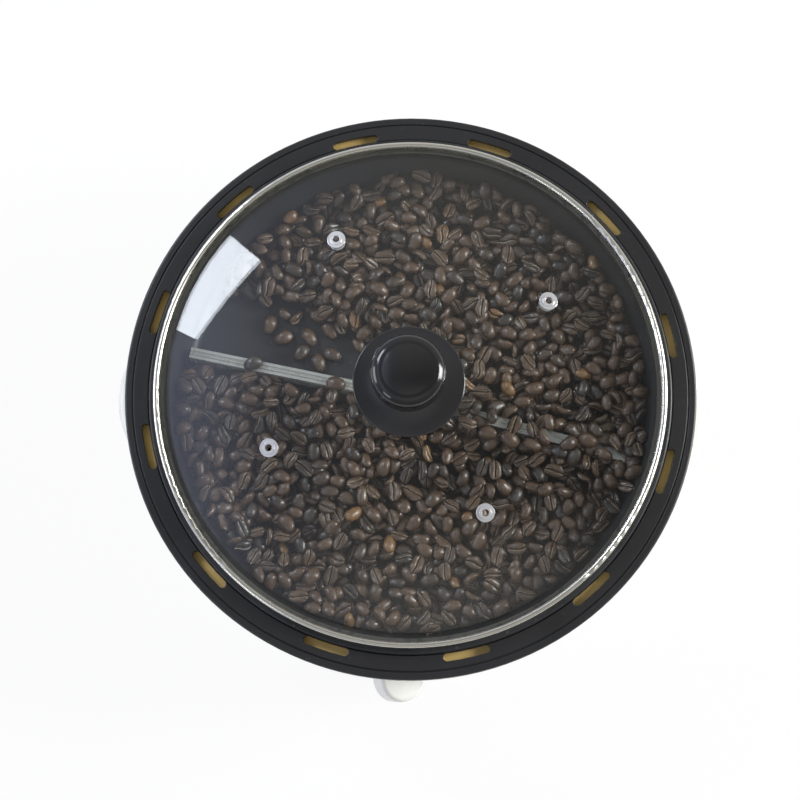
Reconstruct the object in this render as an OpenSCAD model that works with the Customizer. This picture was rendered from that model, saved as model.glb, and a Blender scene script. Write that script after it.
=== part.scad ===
// Home coffee bean roaster: a round electric pan with a motor-driven stirring bar
// under a lift-off glass lid, in a white bowl-shaped body with two side grips.
// Origin: centre of the footprint on the counter. +Z is up, the dial faces -Y.

/* [Feet and base plate] */
// Height of the rubber feet
foot_h = 8; // [6:0.5:14]
// Diameter of one rubber foot
foot_d = 22; // [16:1:28]
// Distance of the feet's axes from the shell's bottom edge
foot_inset = 25; // [22:1:32]
// Thickness of the steel base plate
plate_t = 1.5; // [1:0.25:2.5]

/* [Body shell] */
// How much smaller the shell's radius is at its bottom edge than at its top edge
shell_taper = 44.5; // [38:0.5:47]
// Height of the shell from the base plate to its top edge
shell_h = 94.5; // [90:0.5:110]
// Wall thickness of the shell
shell_wall = 2.8; // [2:0.2:3.4]
// Depth of the inner ledge below the shell's top edge
ledge_drop = 4; // [3:0.5:6]
// Thickness of the inner ledge
ledge_t = 3; // [2:0.5:4]

/* [Top ring] */
// Width of the black ring outside the pan's rim
ring_w = 12.8; // [12.4:0.1:15]
// Height of the ring above the shell's top edge
ring_h = 9; // [8:0.5:12]
// Thickness of the ring's top plate
ring_t = 2.5; // [2:0.25:3.5]
// Step from the ring's top down to the seat of the pan
rim_step = 3; // [2.5:0.25:4]
// Number of air slots in the ring
slot_count = 12; // [8:1:16]
// Length of one air slot along the ring
slot_len = 24.4; // [18:0.2:30]
// Width of one air slot
slot_w = 4.1; // [3.5:0.1:5]
// Width of the decorative groove in the ring
groove_w = 0.9; // [0.5:0.1:1.5]

/* [Roasting pan] */
// Inner radius of the pan at its rim
pan_r = 131; // [118:0.5:140]
// Width of the pan's rim outside its inner radius
pan_rim_w = 6.2; // [5:0.1:8]
// Height of the pan's rim above its seat
pan_rim_h = 4.5; // [4:0.25:6]
// How much smaller the pan's inner radius is at its floor
pan_draft = 7; // [4:0.5:9]
// Depth of the pan from its rim to its floor
pan_depth = 34.5; // [32:0.5:38]
// Thickness of the pan's wall and floor
pan_t = 2; // [1.5:0.25:2.5]
// Radius of the corner between the pan's wall and floor
pan_corner_r = 6; // [4:0.5:8]

/* [Lid] */
// How far the lid's steel band reaches over the pan's rim
band_over = 3.1; // [2:0.1:4.5]
// Height of the lid's steel band
band_h = 6; // [5.5:0.25:8]
// Radial width of the lid's steel band
band_w = 3.2; // [2.8:0.1:4]
// Thickness of the glass
glass_t = 3.4; // [3:0.2:4]
// Rise of the glass dome from its flat edge
dome_rise = 17.5; // [12:0.5:24]
// Distance of the dome's edge from the pan's inner radius
dome_inset = 4.5; // [4:0.5:8]
// Radius of the circle on which the steam vents lie
vent_ring_r = 81.5; // [60:0.5:100]
// Distance of that circle's middle behind the knob
vent_shift = 5.5; // [0:0.5:8]
// Number of steam vents
vent_count = 4; // [2:1:6]
// Direction of the first steam vent
vent_angle = 31; // [0:1:90]
// Flange diameter of one vent eyelet
vent_d = 9.6; // [8:0.2:12]
// Bore of one vent eyelet
vent_bore = 3.7; // [2:0.1:4.2]

/* [Lid knob] */
// Diameter of the saucer under the knob
saucer_d = 57.8; // [50:0.2:64]
// Diameter of the knob's head
knob_d = 38; // [32:0.5:44]
// Height of the knob above its saucer
knob_h = 29; // [25:0.5:34]
// Radius of the knob's rounded upper edge
knob_edge_r = 6; // [3:0.5:7]
// Diameter of the knob's screw
knob_screw_d = 5; // [4:0.5:6]

/* [Stirrer] */
// Diameter of the stirring shaft
shaft_d = 8; // [7:0.5:9]
// Gap between the end of an arm and the pan's wall at the floor
arm_end_gap = 3; // [2.5:0.5:12]
// Width of one stirring arm
arm_w = 7.6; // [6:0.2:9]
// Height of one stirring arm
arm_h = 10.5; // [8:0.5:12]
// Gap between the pan's floor and the arms
arm_gap = 4.5; // [4:0.25:6]
// Direction of the first arm at rest
arm_angle = 171; // [0:1:360]
// Direction of the second arm, counted from the first
arm_spread = 176; // [160:1:200]
// Running clearance of a shaft in its bush
run_fit = 0.05; // [0.03:0.01:0.08]

/* [Heating] */
// Radius of the heating element's ring
element_r = 85; // [70:1:95]
// Diameter of the heating element's tube
element_d = 8; // [6:0.5:9]
// Open angle of the heating element at the back
element_gap = 40; // [30:1:60]
// Drop from the pan's underside to the heat shield's floor
shield_drop = 16; // [14:0.5:18]
// Thickness of the heat shield's sheet
shield_t = 0.8; // [0.6:0.1:1.2]
// Air gap between the pan's outside and the heat shield at the floor
shield_gap = 3.5; // [3:0.25:5]
// Air gap between the pan's outside and the heat shield under the flange
shield_top_gap = 2; // [1.5:0.1:2.4]

/* [Gear train] */
// Gear module
gear_m = 1.2; // [1.1:0.05:1.25]
// Teeth of a pinion
pinion_teeth = 12; // [11:1:13]
// Teeth of a wheel
wheel_teeth = 48; // [44:2:50]
// Width of a gear's teeth
gear_w = 5; // [4:0.5:6]
// Height of the pillars below the gearbox
pillar_h = 20.5; // [20:0.5:22]
// Thickness of the gearbox plates
gearplate_t = 2; // [1.5:0.25:2.5]
// Direction from the idler to the motor
motor_angle = -120; // [-130:1:-100]
// Outer diameter of the motor's can
motor_d = 50; // [44:1:54]

/* [Control panel] */
// Width of the control panel
panel_w = 80; // [76:1:90]
// Height of the control panel
panel_h = 42; // [40:0.5:46]
// How far the panel's front face lies behind the ring's outer edge
panel_setback = 9; // [7:0.5:10]
// Height of the panel's lower edge above the base plate
panel_lift = 8.5; // [7:0.5:10]
// Wall thickness of the panel
panel_wall = 2.5; // [2:0.1:3]
// Diameter of the dial's skirt
dial_skirt_d = 34; // [30:0.5:36]
// Width of the dial's grip, which ends in a half round in front
dial_grip_w = 26.5; // [22:0.5:29]
// Thickness of the dial's grip
dial_grip_t = 12; // [10:0.5:15]
// How far the dial stands out from the panel
dial_reach = 19; // [16:0.5:19]

/* [Side grips] */
// How far each side grip stands out past the ring's outer edge
grip_out = 13; // [9:0.5:16]
// Radius of the grip's round outline
grip_lobe_r = 50; // [44:1:54]
// Thickness of the grip
grip_h = 14; // [12:0.5:16]
// Height of the grip's underside above the counter
grip_z = 50; // [46:0.5:56]

/* [Power inlet] */
// Width of the inlet housing
inlet_w = 56; // [50:1:60]
// Height of the inlet housing
inlet_h = 34; // [32:1:36]
// How far the inlet's rear face stands out past the ring's outer edge
inlet_out = 10; // [6:0.5:14]
// Depth of the inlet's socket
socket_depth = 18; // [16:0.5:20]

/* [Hidden] */
$fn = 96;
seat_gap = 0.3;
skin_gap = 0.05;
far = 400;

// Heights, from the counter up
shell_z = foot_h + plate_t;
shell_top = shell_z + shell_h;
ledge_z = shell_top - ledge_drop;
ring_z = shell_top + ring_h;
seat_z = ring_z - rim_step;
lid_z = seat_z + pan_rim_h;
floor_z = lid_z - pan_depth;
pan_under_z = floor_z - pan_t;
shield_z = pan_under_z - shield_drop;
screen_z = seat_z - ring_t - seat_gap - shield_t;
arm_z = floor_z + arm_gap;

// Radii from the pan outwards: pan, ring, the shell's bowl arc and the slots
pan_floor_r = pan_r - pan_draft;
pan_rim_r = pan_r + pan_rim_w;
ring_r = pan_rim_r + ring_w;
shell_top_r = ring_r - 0.5;
shell_bottom_r = shell_top_r - shell_taper;
foot_ring_r = shell_bottom_r - foot_inset;
shield_floor_r = pan_floor_r + pan_t + shield_gap;
shield_top_r = pan_r + pan_t + shield_top_gap;
arm_reach = pan_floor_r - arm_end_gap;
bowl_rise = shell_top_r - shell_bottom_r;
bowl_r = (bowl_rise * bowl_rise + shell_h * shell_h) / (2 * bowl_rise);
bowl_x = shell_top_r - bowl_r;
flange_in_r = shell_bottom_r - 11;
skirt_in_r = ring_r - 2.5;
ring_step_r = pan_rim_r + seat_gap;
ring_in_r = pan_r + pan_t + 0.8;
slot_r = ring_step_r + 0.1 + slot_w / 2;
groove_r = ring_r - 4.2;
ring_screw_r = ring_r - 8;
ledge_in_r = ring_screw_r - 5;
screw_d = 3;
screw_head_d = 6;
screw_head_h = 2;
screw_bite = 6;
ring_boss_r = 4;

// Lid stack
band_r = pan_r + band_over;
band_in_r = band_r - band_w;
dome_r = pan_r - dome_inset;
glass_r = band_r - 1;
glass_z = lid_z + 1.6;
glass_top_z = glass_z + glass_t;
dome_ball_r = (dome_r * dome_r + dome_rise * dome_rise) / (2 * dome_rise);
apex_z = glass_top_z + dome_rise;
dome_ball_z = apex_z - dome_ball_r;
saucer_r = saucer_d / 2;
saucer_h = 6;
knob_z = apex_z + saucer_h;
knob_r = knob_d / 2;
lip_gap = 1.2;
lip_t = 0.8;

// Gear train: heights of its plates and layers, and its axes
gearbox_z = shell_z + pillar_h;
layer_gap = 1.5;
layer1_z = gearbox_z + gearplate_t + layer_gap;
layer2_z = layer1_z + gear_w + layer_gap;
gearbox_top_z = layer2_z + gear_w + layer_gap;
pinion_r = gear_m * pinion_teeth / 2;
wheel_r = gear_m * wheel_teeth / 2;
axis_step = pinion_r + wheel_r;
idler_xy = [-axis_step, 0];
motor_xy = idler_xy + axis_step * [cos(motor_angle), sin(motor_angle)];
pressure_angle = 25;
addendum = 0.8;
dedendum = 1.1;
backlash = 0.14;
shaft_r = shaft_d / 2;
bush_wall = 2.5;
bush_r = shaft_r + bush_wall;
idler_pin_r = 2.5;
rotor_shaft_r = 2;
clip_h = 1;
shaft_end_z = gearbox_z - 4;
pillar_spots = axis_step * [
    [0.84, 0.89], [0.94, -0.83], [-2.33, 0.5], [-0.83, 1.28], [-2.39, -0.67], [-0.56, -1.83]
];
pillar_r = 4;
pillar_gap = 0.5;

// Pan bush and hub
gland_r = shaft_r + 4;
gland_flange_r = gland_r + 5;
gland_flange_h = 2.5;
gland_nut_h = 3.5;
gland_top_z = floor_z + gland_nut_h + 2;
hub_z = gland_top_z + 0.6;
hub_h = 11;
hub_r = shaft_r + 5.5;
hub_top_z = hub_z + hub_h;
cap_nut_h = 6.5;

// Control panel
panel_y = ring_r - panel_setback;
panel_z = shell_z + panel_lift;
panel_back_y = panel_y - 27;
panel_edge = 4;
dial_z = panel_z + panel_h / 2;
dial_skirt_h = 4.5;
dial_gap = 1.2;
tick_step = 30;
tick_count = 10;
dial_rest = tick_step;
spindle_r = 3;
lens_x = -29;
lens_r = 4;
switch_x = 29;
switch_w = 13;
switch_h = 21;
rocker_tilt = 6;
thermostat_d = 24;
thermostat_w = 30;
thermostat_h = 24;
neck_r = 5;

// Power inlet
inlet_y = ring_r + inlet_out;
inlet_z = shell_z + 4.5;
inlet_mid_z = inlet_z + inlet_h / 2;
inlet_wall = 2.5;
inlet_edge = 4;
inlet_flange_t = 2;
inlet_screw_x = 20;
pin_reach = 6;
pin_x = 7;
socket_w = 24;
socket_h = 16.5;
socket_wall = 1.8;

function shell_r_at(z) = bowl_x + sqrt(bowl_r * bowl_r - (shell_top - z) * (shell_top - z));
function dome_z_at(r) = dome_ball_z + sqrt(dome_ball_r * dome_ball_r - r * r);
function arc_points(c, r, a0, a1, n) =
    [for (i = [0 : n]) let (a = a0 + (a1 - a0) * i / n) c + r * [cos(a), sin(a)]];

// ---------- helpers ----------

module ring_tube(r_out, r_in, h) {
    difference() {
        cylinder(r = r_out, h = h);
        translate([0, 0, -1]) cylinder(r = r_in, h = h + 2);
    }
}

module around(count, r, start = 0) {
    for (i = [0 : count - 1])
        rotate([0, 0, start + i * 360 / count]) translate([r, 0, 0]) children();
}

module both_sides() {
    children();
    mirror([1, 0, 0]) children();
}

// A pan-head screw pointing up, with the underside of its head at z = 0
module screw_up(d, head_d, head_h, length) {
    cylinder(d = d, h = length, $fn = 32);
    translate([0, 0, -head_h]) difference() {
        cylinder(d = head_d, h = head_h, $fn = 48);
        translate([-head_d / 2, -0.4, -1]) cube([head_d, 0.8, 1 + head_h * 0.4]);
    }
}

module rounded_rect(w, h, edge) {
    square([w - 2 * edge, h], center = true);
    square([w, h - 2 * edge], center = true);
    for (sx = [-1, 1]) for (sy = [-1, 1])
        translate([sx * (w / 2 - edge), sy * (h / 2 - edge)]) circle(r = edge, $fn = 48);
}

// A block along Y with rounded long edges, its lower edge at z
module rounded_block(w, h, z, edge, y0, y1) {
    translate([0, y1, z + h / 2]) rotate([90, 0, 0]) linear_extrude(y1 - y0) rounded_rect(w, h, edge);
}

// A round bar through a list of points, with ball corners
module bent_bar(points, r) {
    for (i = [0 : len(points) - 2]) {
        run = points[i + 1] - points[i];
        length = norm(run);
        translate(points[i])
            rotate([0, acos(run[2] / length), atan2(run[1], run[0])])
                cylinder(r = r, h = length, $fn = 24);
    }
    for (i = [1 : len(points) - 2]) translate(points[i]) sphere(r = r * 1.35, $fn = 32);
}

function involute(a) = tan(a) * 180 / PI - a;
function flank_angle(r, base_r, teeth) =
    90 / teeth * (1 - backlash) + involute(pressure_angle) - involute(acos(min(1, base_r / r)));

function gear_points(teeth) = let (
        r = gear_m * teeth / 2,
        base_r = r * cos(pressure_angle),
        tip_r = r + addendum * gear_m,
        root_r = r - dedendum * gear_m,
        low_r = max(base_r, root_r)
    )
    [for (i = [0 : teeth - 1]) let (a = i * 360 / teeth) each [
        root_r * [cos(a - flank_angle(low_r, base_r, teeth)), sin(a - flank_angle(low_r, base_r, teeth))],
        r * [cos(a - flank_angle(r, base_r, teeth)), sin(a - flank_angle(r, base_r, teeth))],
        tip_r * [cos(a - flank_angle(tip_r, base_r, teeth)), sin(a - flank_angle(tip_r, base_r, teeth))],
        tip_r * [cos(a + flank_angle(tip_r, base_r, teeth)), sin(a + flank_angle(tip_r, base_r, teeth))],
        r * [cos(a + flank_angle(r, base_r, teeth)), sin(a + flank_angle(r, base_r, teeth))],
        root_r * [cos(a + flank_angle(low_r, base_r, teeth)), sin(a + flank_angle(low_r, base_r, teeth))]
    ]];

// A gear with one tooth pointing at the given direction
module gear(teeth, width, bore_r, direction) {
    difference() {
        rotate([0, 0, direction]) linear_extrude(width) polygon(gear_points(teeth));
        translate([0, 0, -1]) cylinder(r = bore_r, h = width + 2);
    }
}

// The space inside the shell's outer surface, grown by a clearance
module bowl_space(gap = 0) {
    rotate_extrude() intersection() {
        translate([bowl_x, shell_top]) circle(r = bowl_r + gap, $fn = 360);
        translate([0, shell_z]) square([ring_r + 1, shell_h]);
    }
}

// ---------- lid ----------

module vent_places() {
    for (i = [0 : vent_count - 1]) {
        turn = vent_angle + i * 360 / vent_count;
        place = [0, vent_shift] + vent_ring_r * [cos(turn), sin(turn)];
        translate([0, 0, dome_ball_z]) rotate([0, asin(norm(place) / dome_ball_r), atan2(place[1], place[0])])
            translate([0, 0, dome_ball_r]) children();
    }
}

vent_neck_r = vent_bore / 2 + 1.2;

module lid_glass() {
    color([0.75, 0.8, 0.82, 0.35]) difference() {
        union() {
            rotate_extrude() difference() {
                intersection() {
                    translate([0, dome_ball_z]) circle(r = dome_ball_r, $fn = 720);
                    translate([0, glass_z]) square([dome_r, far]);
                }
                translate([0, dome_ball_z]) circle(r = dome_ball_r - glass_t, $fn = 720);
            }
            translate([0, 0, glass_z]) ring_tube(glass_r, dome_r - 0.5, glass_t);
        }
        vent_places() translate([0, 0, -glass_t * 2]) cylinder(r = vent_neck_r, h = glass_t * 4, $fn = 48);
        translate([0, 0, glass_z]) cylinder(d = knob_screw_d + 1, h = far, $fn = 48);
    }
}

module lid_band() {
    lip_r = pan_r - lip_gap;
    color("silver") rotate_extrude($fn = 180) difference() {
        union() {
            translate([band_in_r, lid_z]) square([band_w, band_h - band_w / 2]);
            translate([band_r - band_w / 2, lid_z + band_h - band_w / 2]) circle(d = band_w, $fn = 48);
            translate([lip_r - lip_t, lid_z]) square([band_r - 1 - lip_r, glass_z - lid_z]);
            translate([lip_r - lip_t, lid_z - 3.5]) square([lip_t, 4]);
        }
        translate([0, glass_z]) square([glass_r, glass_t]);
    }
}

module vent_eyelets() {
    step_h = 0.8;
    color("white") vent_places() difference() {
        union() {
            cylinder(d = vent_d, h = step_h, $fn = 48);
            translate([0, 0, step_h]) cylinder(r = vent_neck_r, h = step_h, $fn = 48);
            translate([0, 0, -glass_t - skin_gap]) cylinder(r = vent_neck_r, h = glass_t + skin_gap, $fn = 48);
            translate([0, 0, -glass_t - 1]) cylinder(d = vent_d - 1.4, h = 1 - skin_gap, $fn = 48);
        }
        translate([0, 0, -glass_t * 2]) cylinder(d = vent_bore, h = glass_t * 4, $fn = 48);
    }
}

module knob_saucer() {
    screw_r = knob_screw_d / 2 + 0.3;
    rim_r = 0.9;
    rim_z = apex_z + 1.3;
    slope_w = saucer_r - rim_r - knob_r * 0.68;
    slope_h = apex_z + saucer_h - rim_z - rim_r;
    slope_r = (slope_w * slope_w + slope_h * slope_h) / (2 * slope_h);
    color([0.06, 0.06, 0.06]) rotate_extrude() difference() {
        polygon(concat(
            [[screw_r, dome_z_at(screw_r)], [saucer_r - 6, dome_z_at(saucer_r - 6)],
             [saucer_r - 1, dome_z_at(saucer_r - 1) + 0.4]],
            arc_points([saucer_r - rim_r, rim_z], rim_r, -80, 80, 8),
            arc_points([saucer_r - rim_r, rim_z + rim_r + slope_r], slope_r, -90, -90 - asin(slope_w / slope_r), 12),
            [[screw_r, apex_z + saucer_h]]
        ));
        translate([0, dome_ball_z]) circle(r = dome_ball_r, $fn = 720);
    }
}

module lid_knob() {
    neck_top_r = knob_r * 0.6;
    head_z = knob_z + knob_h * 0.38;
    cap_rise = 2;
    cap_r = knob_r - knob_edge_r;
    crown_r = (cap_r * cap_r + cap_rise * cap_rise) / (2 * cap_rise);
    edge_z = knob_z + knob_h - cap_rise - knob_edge_r;
    color([0.05, 0.05, 0.05]) difference() {
        rotate_extrude() polygon(concat(
            [[0, knob_z], [neck_top_r, knob_z]],
            [[neck_top_r - 1, knob_z + knob_h * 0.2]],
            arc_points([knob_r - 5, head_z + 3], 5, -60, 0, 8),
            arc_points([cap_r, edge_z], knob_edge_r, 0, 78, 12),
            arc_points([0, knob_z + knob_h - crown_r], crown_r, 90 - asin(cap_r / crown_r), 90, 8)
        ));
        translate([0, 0, knob_z - 1]) cylinder(d = knob_screw_d, h = 14, $fn = 48);
    }
}

washer_t = 1.2;
washer_r = 9;
washer_z = dome_z_at(0) - glass_t;

module knob_washers() {
    color([0.75, 0.75, 0.7]) difference() {
        union() {
            translate([0, 0, washer_z - washer_t - 0.3]) cylinder(r = washer_r, h = washer_t);
            translate([0, 0, washer_z - 2 * washer_t - 0.3]) cylinder(r = washer_r - 2, h = washer_t);
        }
        translate([0, 0, washer_z - 10]) cylinder(d = knob_screw_d + 0.6, h = 20, $fn = 48);
    }
}

module knob_screw() {
    color("silver") translate([0, 0, washer_z - 2 * washer_t - 0.3])
        screw_up(knob_screw_d, knob_screw_d * 2, 3, knob_z + 12 - washer_z + 2 * washer_t);
}

// ---------- top ring and pan ----------

module top_ring() {
    half_angle = asin((slot_len - slot_w) / 2 / slot_r);
    outer_edge = 1.2;
    color([0.08, 0.08, 0.09]) difference() {
        union() {
            rotate_extrude($fn = 180) polygon(concat(
                [[ring_in_r, seat_z - ring_t], [ring_in_r, seat_z], [ring_step_r, seat_z],
                 [ring_step_r, ring_z - 0.3], [ring_step_r + 0.3, ring_z],
                 [groove_r - groove_w / 2, ring_z], [groove_r - groove_w / 2, ring_z - 0.9],
                 [groove_r + groove_w / 2, ring_z - 0.9], [groove_r + groove_w / 2, ring_z - 0.2]],
                arc_points([ring_r - outer_edge, ring_z - 0.2 - outer_edge], outer_edge, 90, 0, 6),
                [[ring_r, shell_top], [skirt_in_r, shell_top], [skirt_in_r, ring_z - ring_t],
                 [slot_r, ring_z - ring_t], [slot_r, seat_z - ring_t]]
            ));
            translate([0, 0, ledge_z + shield_t]) around(4, ring_screw_r)
                cylinder(r = ring_boss_r, h = ring_z - ring_t / 2 - ledge_z - shield_t, $fn = 48);
        }
        for (i = [0 : slot_count - 1]) rotate([0, 0, (i + 0.5) * 360 / slot_count]) {
            translate([0, 0, shell_top - 2]) rotate([0, 0, -half_angle])
                rotate_extrude(angle = 2 * half_angle)
                    translate([slot_r - slot_w / 2, 0]) square([slot_w, ring_h + 4]);
            for (s = [-1, 1]) rotate([0, 0, s * half_angle]) translate([slot_r, 0, shell_top - 2])
                cylinder(d = slot_w, h = ring_h + 4, $fn = 48);
        }
        around(4, ring_screw_r) translate([0, 0, ledge_z - 1])
            cylinder(d = screw_d, h = screw_bite + 2, $fn = 32);
    }
}

module ring_screws() {
    color("silver") translate([0, 0, ledge_z - ledge_t]) around(4, ring_screw_r)
        screw_up(screw_d, screw_head_d, screw_head_h, ledge_t + screw_bite);
}

module roasting_pan() {
    c = pan_corner_r;
    edge = 1.2;
    slope = (pan_r - pan_floor_r) / (pan_depth - c);
    color([0.22, 0.22, 0.23]) difference() {
        rotate_extrude($fn = 180) polygon(concat(
            [[gland_r, floor_z]],
            arc_points([pan_floor_r - c, floor_z + c], c, -90, 0, 8),
            [[pan_r, lid_z - 0.6], [pan_r + 0.6, lid_z]],
            arc_points([pan_rim_r - edge, lid_z - edge], edge, 90, 0, 5),
            [[pan_rim_r, seat_z], [pan_r + pan_t - slope * pan_rim_h, seat_z]],
            arc_points([pan_floor_r - c, floor_z + c], c + pan_t, 0, -90, 8),
            [[gland_r, pan_under_z]]
        ));
        translate([0, 0, pan_under_z - 1]) cylinder(r = gland_r, h = pan_t + 2);
    }
}

module pan_bush() {
    color([0.72, 0.6, 0.3]) difference() {
        union() {
            translate([0, 0, pan_under_z - gland_flange_h]) cylinder(r = gland_flange_r, h = gland_flange_h);
            translate([0, 0, pan_under_z - gland_flange_h])
                cylinder(r = gland_r, h = gland_top_z - pan_under_z + gland_flange_h);
        }
        translate([0, 0, shield_z]) cylinder(r = shaft_r + run_fit, h = far);
    }
}

module bush_nut() {
    color([0.7, 0.7, 0.7]) translate([0, 0, floor_z]) difference() {
        cylinder(r = gland_r + 4, h = gland_nut_h, $fn = 6);
        translate([0, 0, -1]) cylinder(r = gland_r, h = gland_nut_h + 2);
    }
}

// ---------- stirrer ----------

module stir_arm(direction) {
    sheet = 1;
    top_w = arm_w * 0.75;
    crease_w = arm_w * 0.12;
    rotate([0, 0, direction]) translate([0, 0, arm_z]) rotate([90, 0, 90]) linear_extrude(arm_reach)
        polygon([
            [-arm_w / 2, 0], [-top_w / 2, arm_h], [-crease_w / 2, arm_h], [0, arm_h - crease_w / 2],
            [crease_w / 2, arm_h], [top_w / 2, arm_h], [arm_w / 2, 0],
            [arm_w / 2 - sheet, 0], [top_w / 2 - sheet * 0.7, arm_h - sheet],
            [-top_w / 2 + sheet * 0.7, arm_h - sheet], [-arm_w / 2 + sheet, 0]
        ]);
}

module stir_bar() {
    clear_r = gland_r + 4.6;
    color([0.8, 0.8, 0.8]) difference() {
        union() {
            translate([0, 0, hub_z]) cylinder(r = hub_r, h = hub_h);
            difference() {
                union() {
                    stir_arm(arm_angle);
                    stir_arm(arm_angle + arm_spread);
                }
                translate([0, 0, floor_z]) cylinder(r = clear_r, h = hub_z - floor_z);
            }
        }
        translate([0, 0, floor_z]) cylinder(r = shaft_r, h = far);
    }
}

module cap_nut() {
    color([0.75, 0.75, 0.75]) translate([0, 0, hub_top_z]) difference() {
        union() {
            cylinder(r = shaft_r + 3.5, h = cap_nut_h * 0.7, $fn = 6);
            cylinder(r = shaft_r + 1.6, h = cap_nut_h, $fn = 48);
        }
        translate([0, 0, -1]) cylinder(r = shaft_r, h = cap_nut_h * 0.75 + 1);
    }
}

module stir_shaft() {
    color("silver") translate([0, 0, shaft_end_z])
        cylinder(r = shaft_r, h = hub_top_z + cap_nut_h * 0.6 - shaft_end_z);
}

module shaft_clip() {
    color([0.4, 0.4, 0.4]) translate([0, 0, gearbox_z - clip_h - seat_gap])
        ring_tube(bush_r + 1, shaft_r, clip_h);
}

// ---------- heating ----------

element_z = pan_under_z - element_d / 2 - 0.1;
terminal_drop = 14;
terminal_pin_l = 7;

module heating_element() {
    half = element_gap / 2;
    color([0.5, 0.5, 0.5]) {
        rotate([0, 0, 90 + half]) rotate_extrude(angle = 360 - element_gap)
            translate([element_r, element_z]) circle(d = element_d, $fn = 48);
        for (s = [-1, 1]) rotate([0, 0, 90 + s * half]) translate([element_r, 0, element_z - terminal_drop]) {
            cylinder(d = element_d, h = terminal_drop, $fn = 48);
            translate([0, 0, terminal_drop]) sphere(d = element_d, $fn = 48);
            translate([0, 0, -terminal_pin_l]) cylinder(d = 3, h = terminal_pin_l + 1, $fn = 24);
        }
    }
}

clip_angles = [20, 160, 270];

module element_clips() {
    wide = element_d / 2 + 4;
    under = element_z - element_d / 2 - 0.2;
    color([0.65, 0.65, 0.6]) for (a = clip_angles) rotate([0, 0, a]) translate([element_r, 0, 0]) {
        translate([-wide, -5, under - 1]) cube([2 * wide, 10, 1]);
        for (s = [-1, 1]) translate([s * (element_d / 2 + 2.2), 0, under - 0.5])
            cylinder(r = 1.5, h = pan_under_z - under + 0.5, $fn = 32);
    }
}

module thermal_cutout() {
    color([0.85, 0.83, 0.75]) rotate([0, 0, 210]) translate([50, 0, pan_under_z - 7]) {
        cylinder(r = 8, h = 7);
        translate([-11, -2, 2]) cube([22, 4, 1]);
    }
}

// Tray under the pan, with a flange on the shell's ledge and a gold screen under the ring's slots
module heat_shield() {
    flange_r = skirt_in_r - 1.3;
    terminal_r = element_d / 2 + 2;
    inner_r = shield_top_r - shield_t;
    color([0.78, 0.62, 0.25]) difference() {
        rotate_extrude($fn = 180) polygon([
            [gland_flange_r + 2, shield_z], [shield_floor_r, shield_z], [shield_top_r, ledge_z],
            [flange_r, ledge_z], [flange_r, ledge_z + shield_t], [shield_top_r, ledge_z + shield_t],
            [shield_top_r, screen_z], [flange_r, screen_z], [flange_r, screen_z + shield_t],
            [inner_r, screen_z + shield_t], [inner_r, ledge_z + shield_t],
            [shield_floor_r - shield_t, shield_z + shield_t], [gland_flange_r + 2, shield_z + shield_t]
        ]);
        around(4, ring_screw_r) translate([0, 0, screen_z - 1])
            cylinder(r = ring_boss_r + seat_gap, h = shield_t + 2, $fn = 48);
        around(4, ring_screw_r) translate([0, 0, ledge_z - 1]) cylinder(d = screw_d + 0.4, h = 4, $fn = 32);
        for (s = [-1, 1]) rotate([0, 0, 90 + s * element_gap / 2]) translate([element_r, 0, shield_z - 1])
            cylinder(r = terminal_r, h = 4);
        translate([sensor_x, sensor_y, shield_z - 1]) cylinder(r = 3, h = 4);
    }
}

sensor_x = thermostat_w / 2 - 1;
sensor_y = -element_r - 15;
bulb_y = -element_r + 17;
bulb_l = 36;
bulb_r = 2.5;
tube_r = 0.8;

module sensor_tube() {
    bulb_z = pan_under_z - bulb_r - 0.1;
    start = [sensor_x, -panel_y + panel_wall + thermostat_d - 2, dial_z + thermostat_h / 2];
    under_z = shield_z + shield_t + 3;
    color([0.75, 0.45, 0.3]) {
        bent_bar([
            start, start + [0, 0, 4], [sensor_x, sensor_y, start[2] + 4],
            [sensor_x, sensor_y, under_z], [sensor_x, bulb_y - 4, under_z], [sensor_x, bulb_y - 4, bulb_z],
            [sensor_x, bulb_y + 1, bulb_z]
        ], tube_r);
        translate([sensor_x, bulb_y, bulb_z]) rotate([-90, 0, 0]) cylinder(r = bulb_r, h = bulb_l, $fn = 32);
    }
}

// ---------- body ----------

base_screw_r = shell_bottom_r - 6;

module body_shell() {
    color([0.95, 0.95, 0.93]) difference() {
        union() {
            rotate_extrude($fn = 180) difference() {
                intersection() {
                    translate([bowl_x, shell_top]) circle(r = bowl_r, $fn = 360);
                    translate([flange_in_r, shell_z]) square([far, shell_h]);
                }
                intersection() {
                    translate([bowl_x, shell_top]) circle(r = bowl_r - shell_wall, $fn = 360);
                    translate([0, shell_z + shell_wall]) square([far, far]);
                }
            }
            translate([0, 0, ledge_z - ledge_t]) ring_tube(shell_top_r - 1, ledge_in_r, ledge_t);
            translate([0, 0, shell_z]) around(4, base_screw_r)
                cylinder(r = 4, h = screw_bite + 4, $fn = 48);
        }
        around(4, ring_screw_r) translate([0, 0, ledge_z - 6]) cylinder(d = screw_d + 0.4, h = 12, $fn = 32);
        around(4, base_screw_r) translate([0, 0, shell_z - 1])
            cylinder(d = screw_d, h = screw_bite + 2, $fn = 32);
        rounded_block(panel_w + 2 * seat_gap, panel_h + 2 * seat_gap, panel_z - seat_gap,
            panel_edge + seat_gap, -far, -panel_back_y + 8);
        translate([-inlet_w / 2 + 6, shell_bottom_r * 0.75, inlet_z + 6])
            cube([inlet_w - 12, ring_r, inlet_h - 12]);
        for (p = pillar_spots) translate([p[0], p[1], shell_z - 1])
            cylinder(r = pillar_r + pillar_gap, h = pillar_h + gearplate_t);
        for (x = [-1, 1]) for (y = [-1, 1]) translate([x * grip_x, y * grip_screw_y, grip_screw_z])
            rotate([0, x * 90, 0]) cylinder(d = screw_d + 1.2, h = grip_lobe_r, $fn = 32);
    }
}

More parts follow.
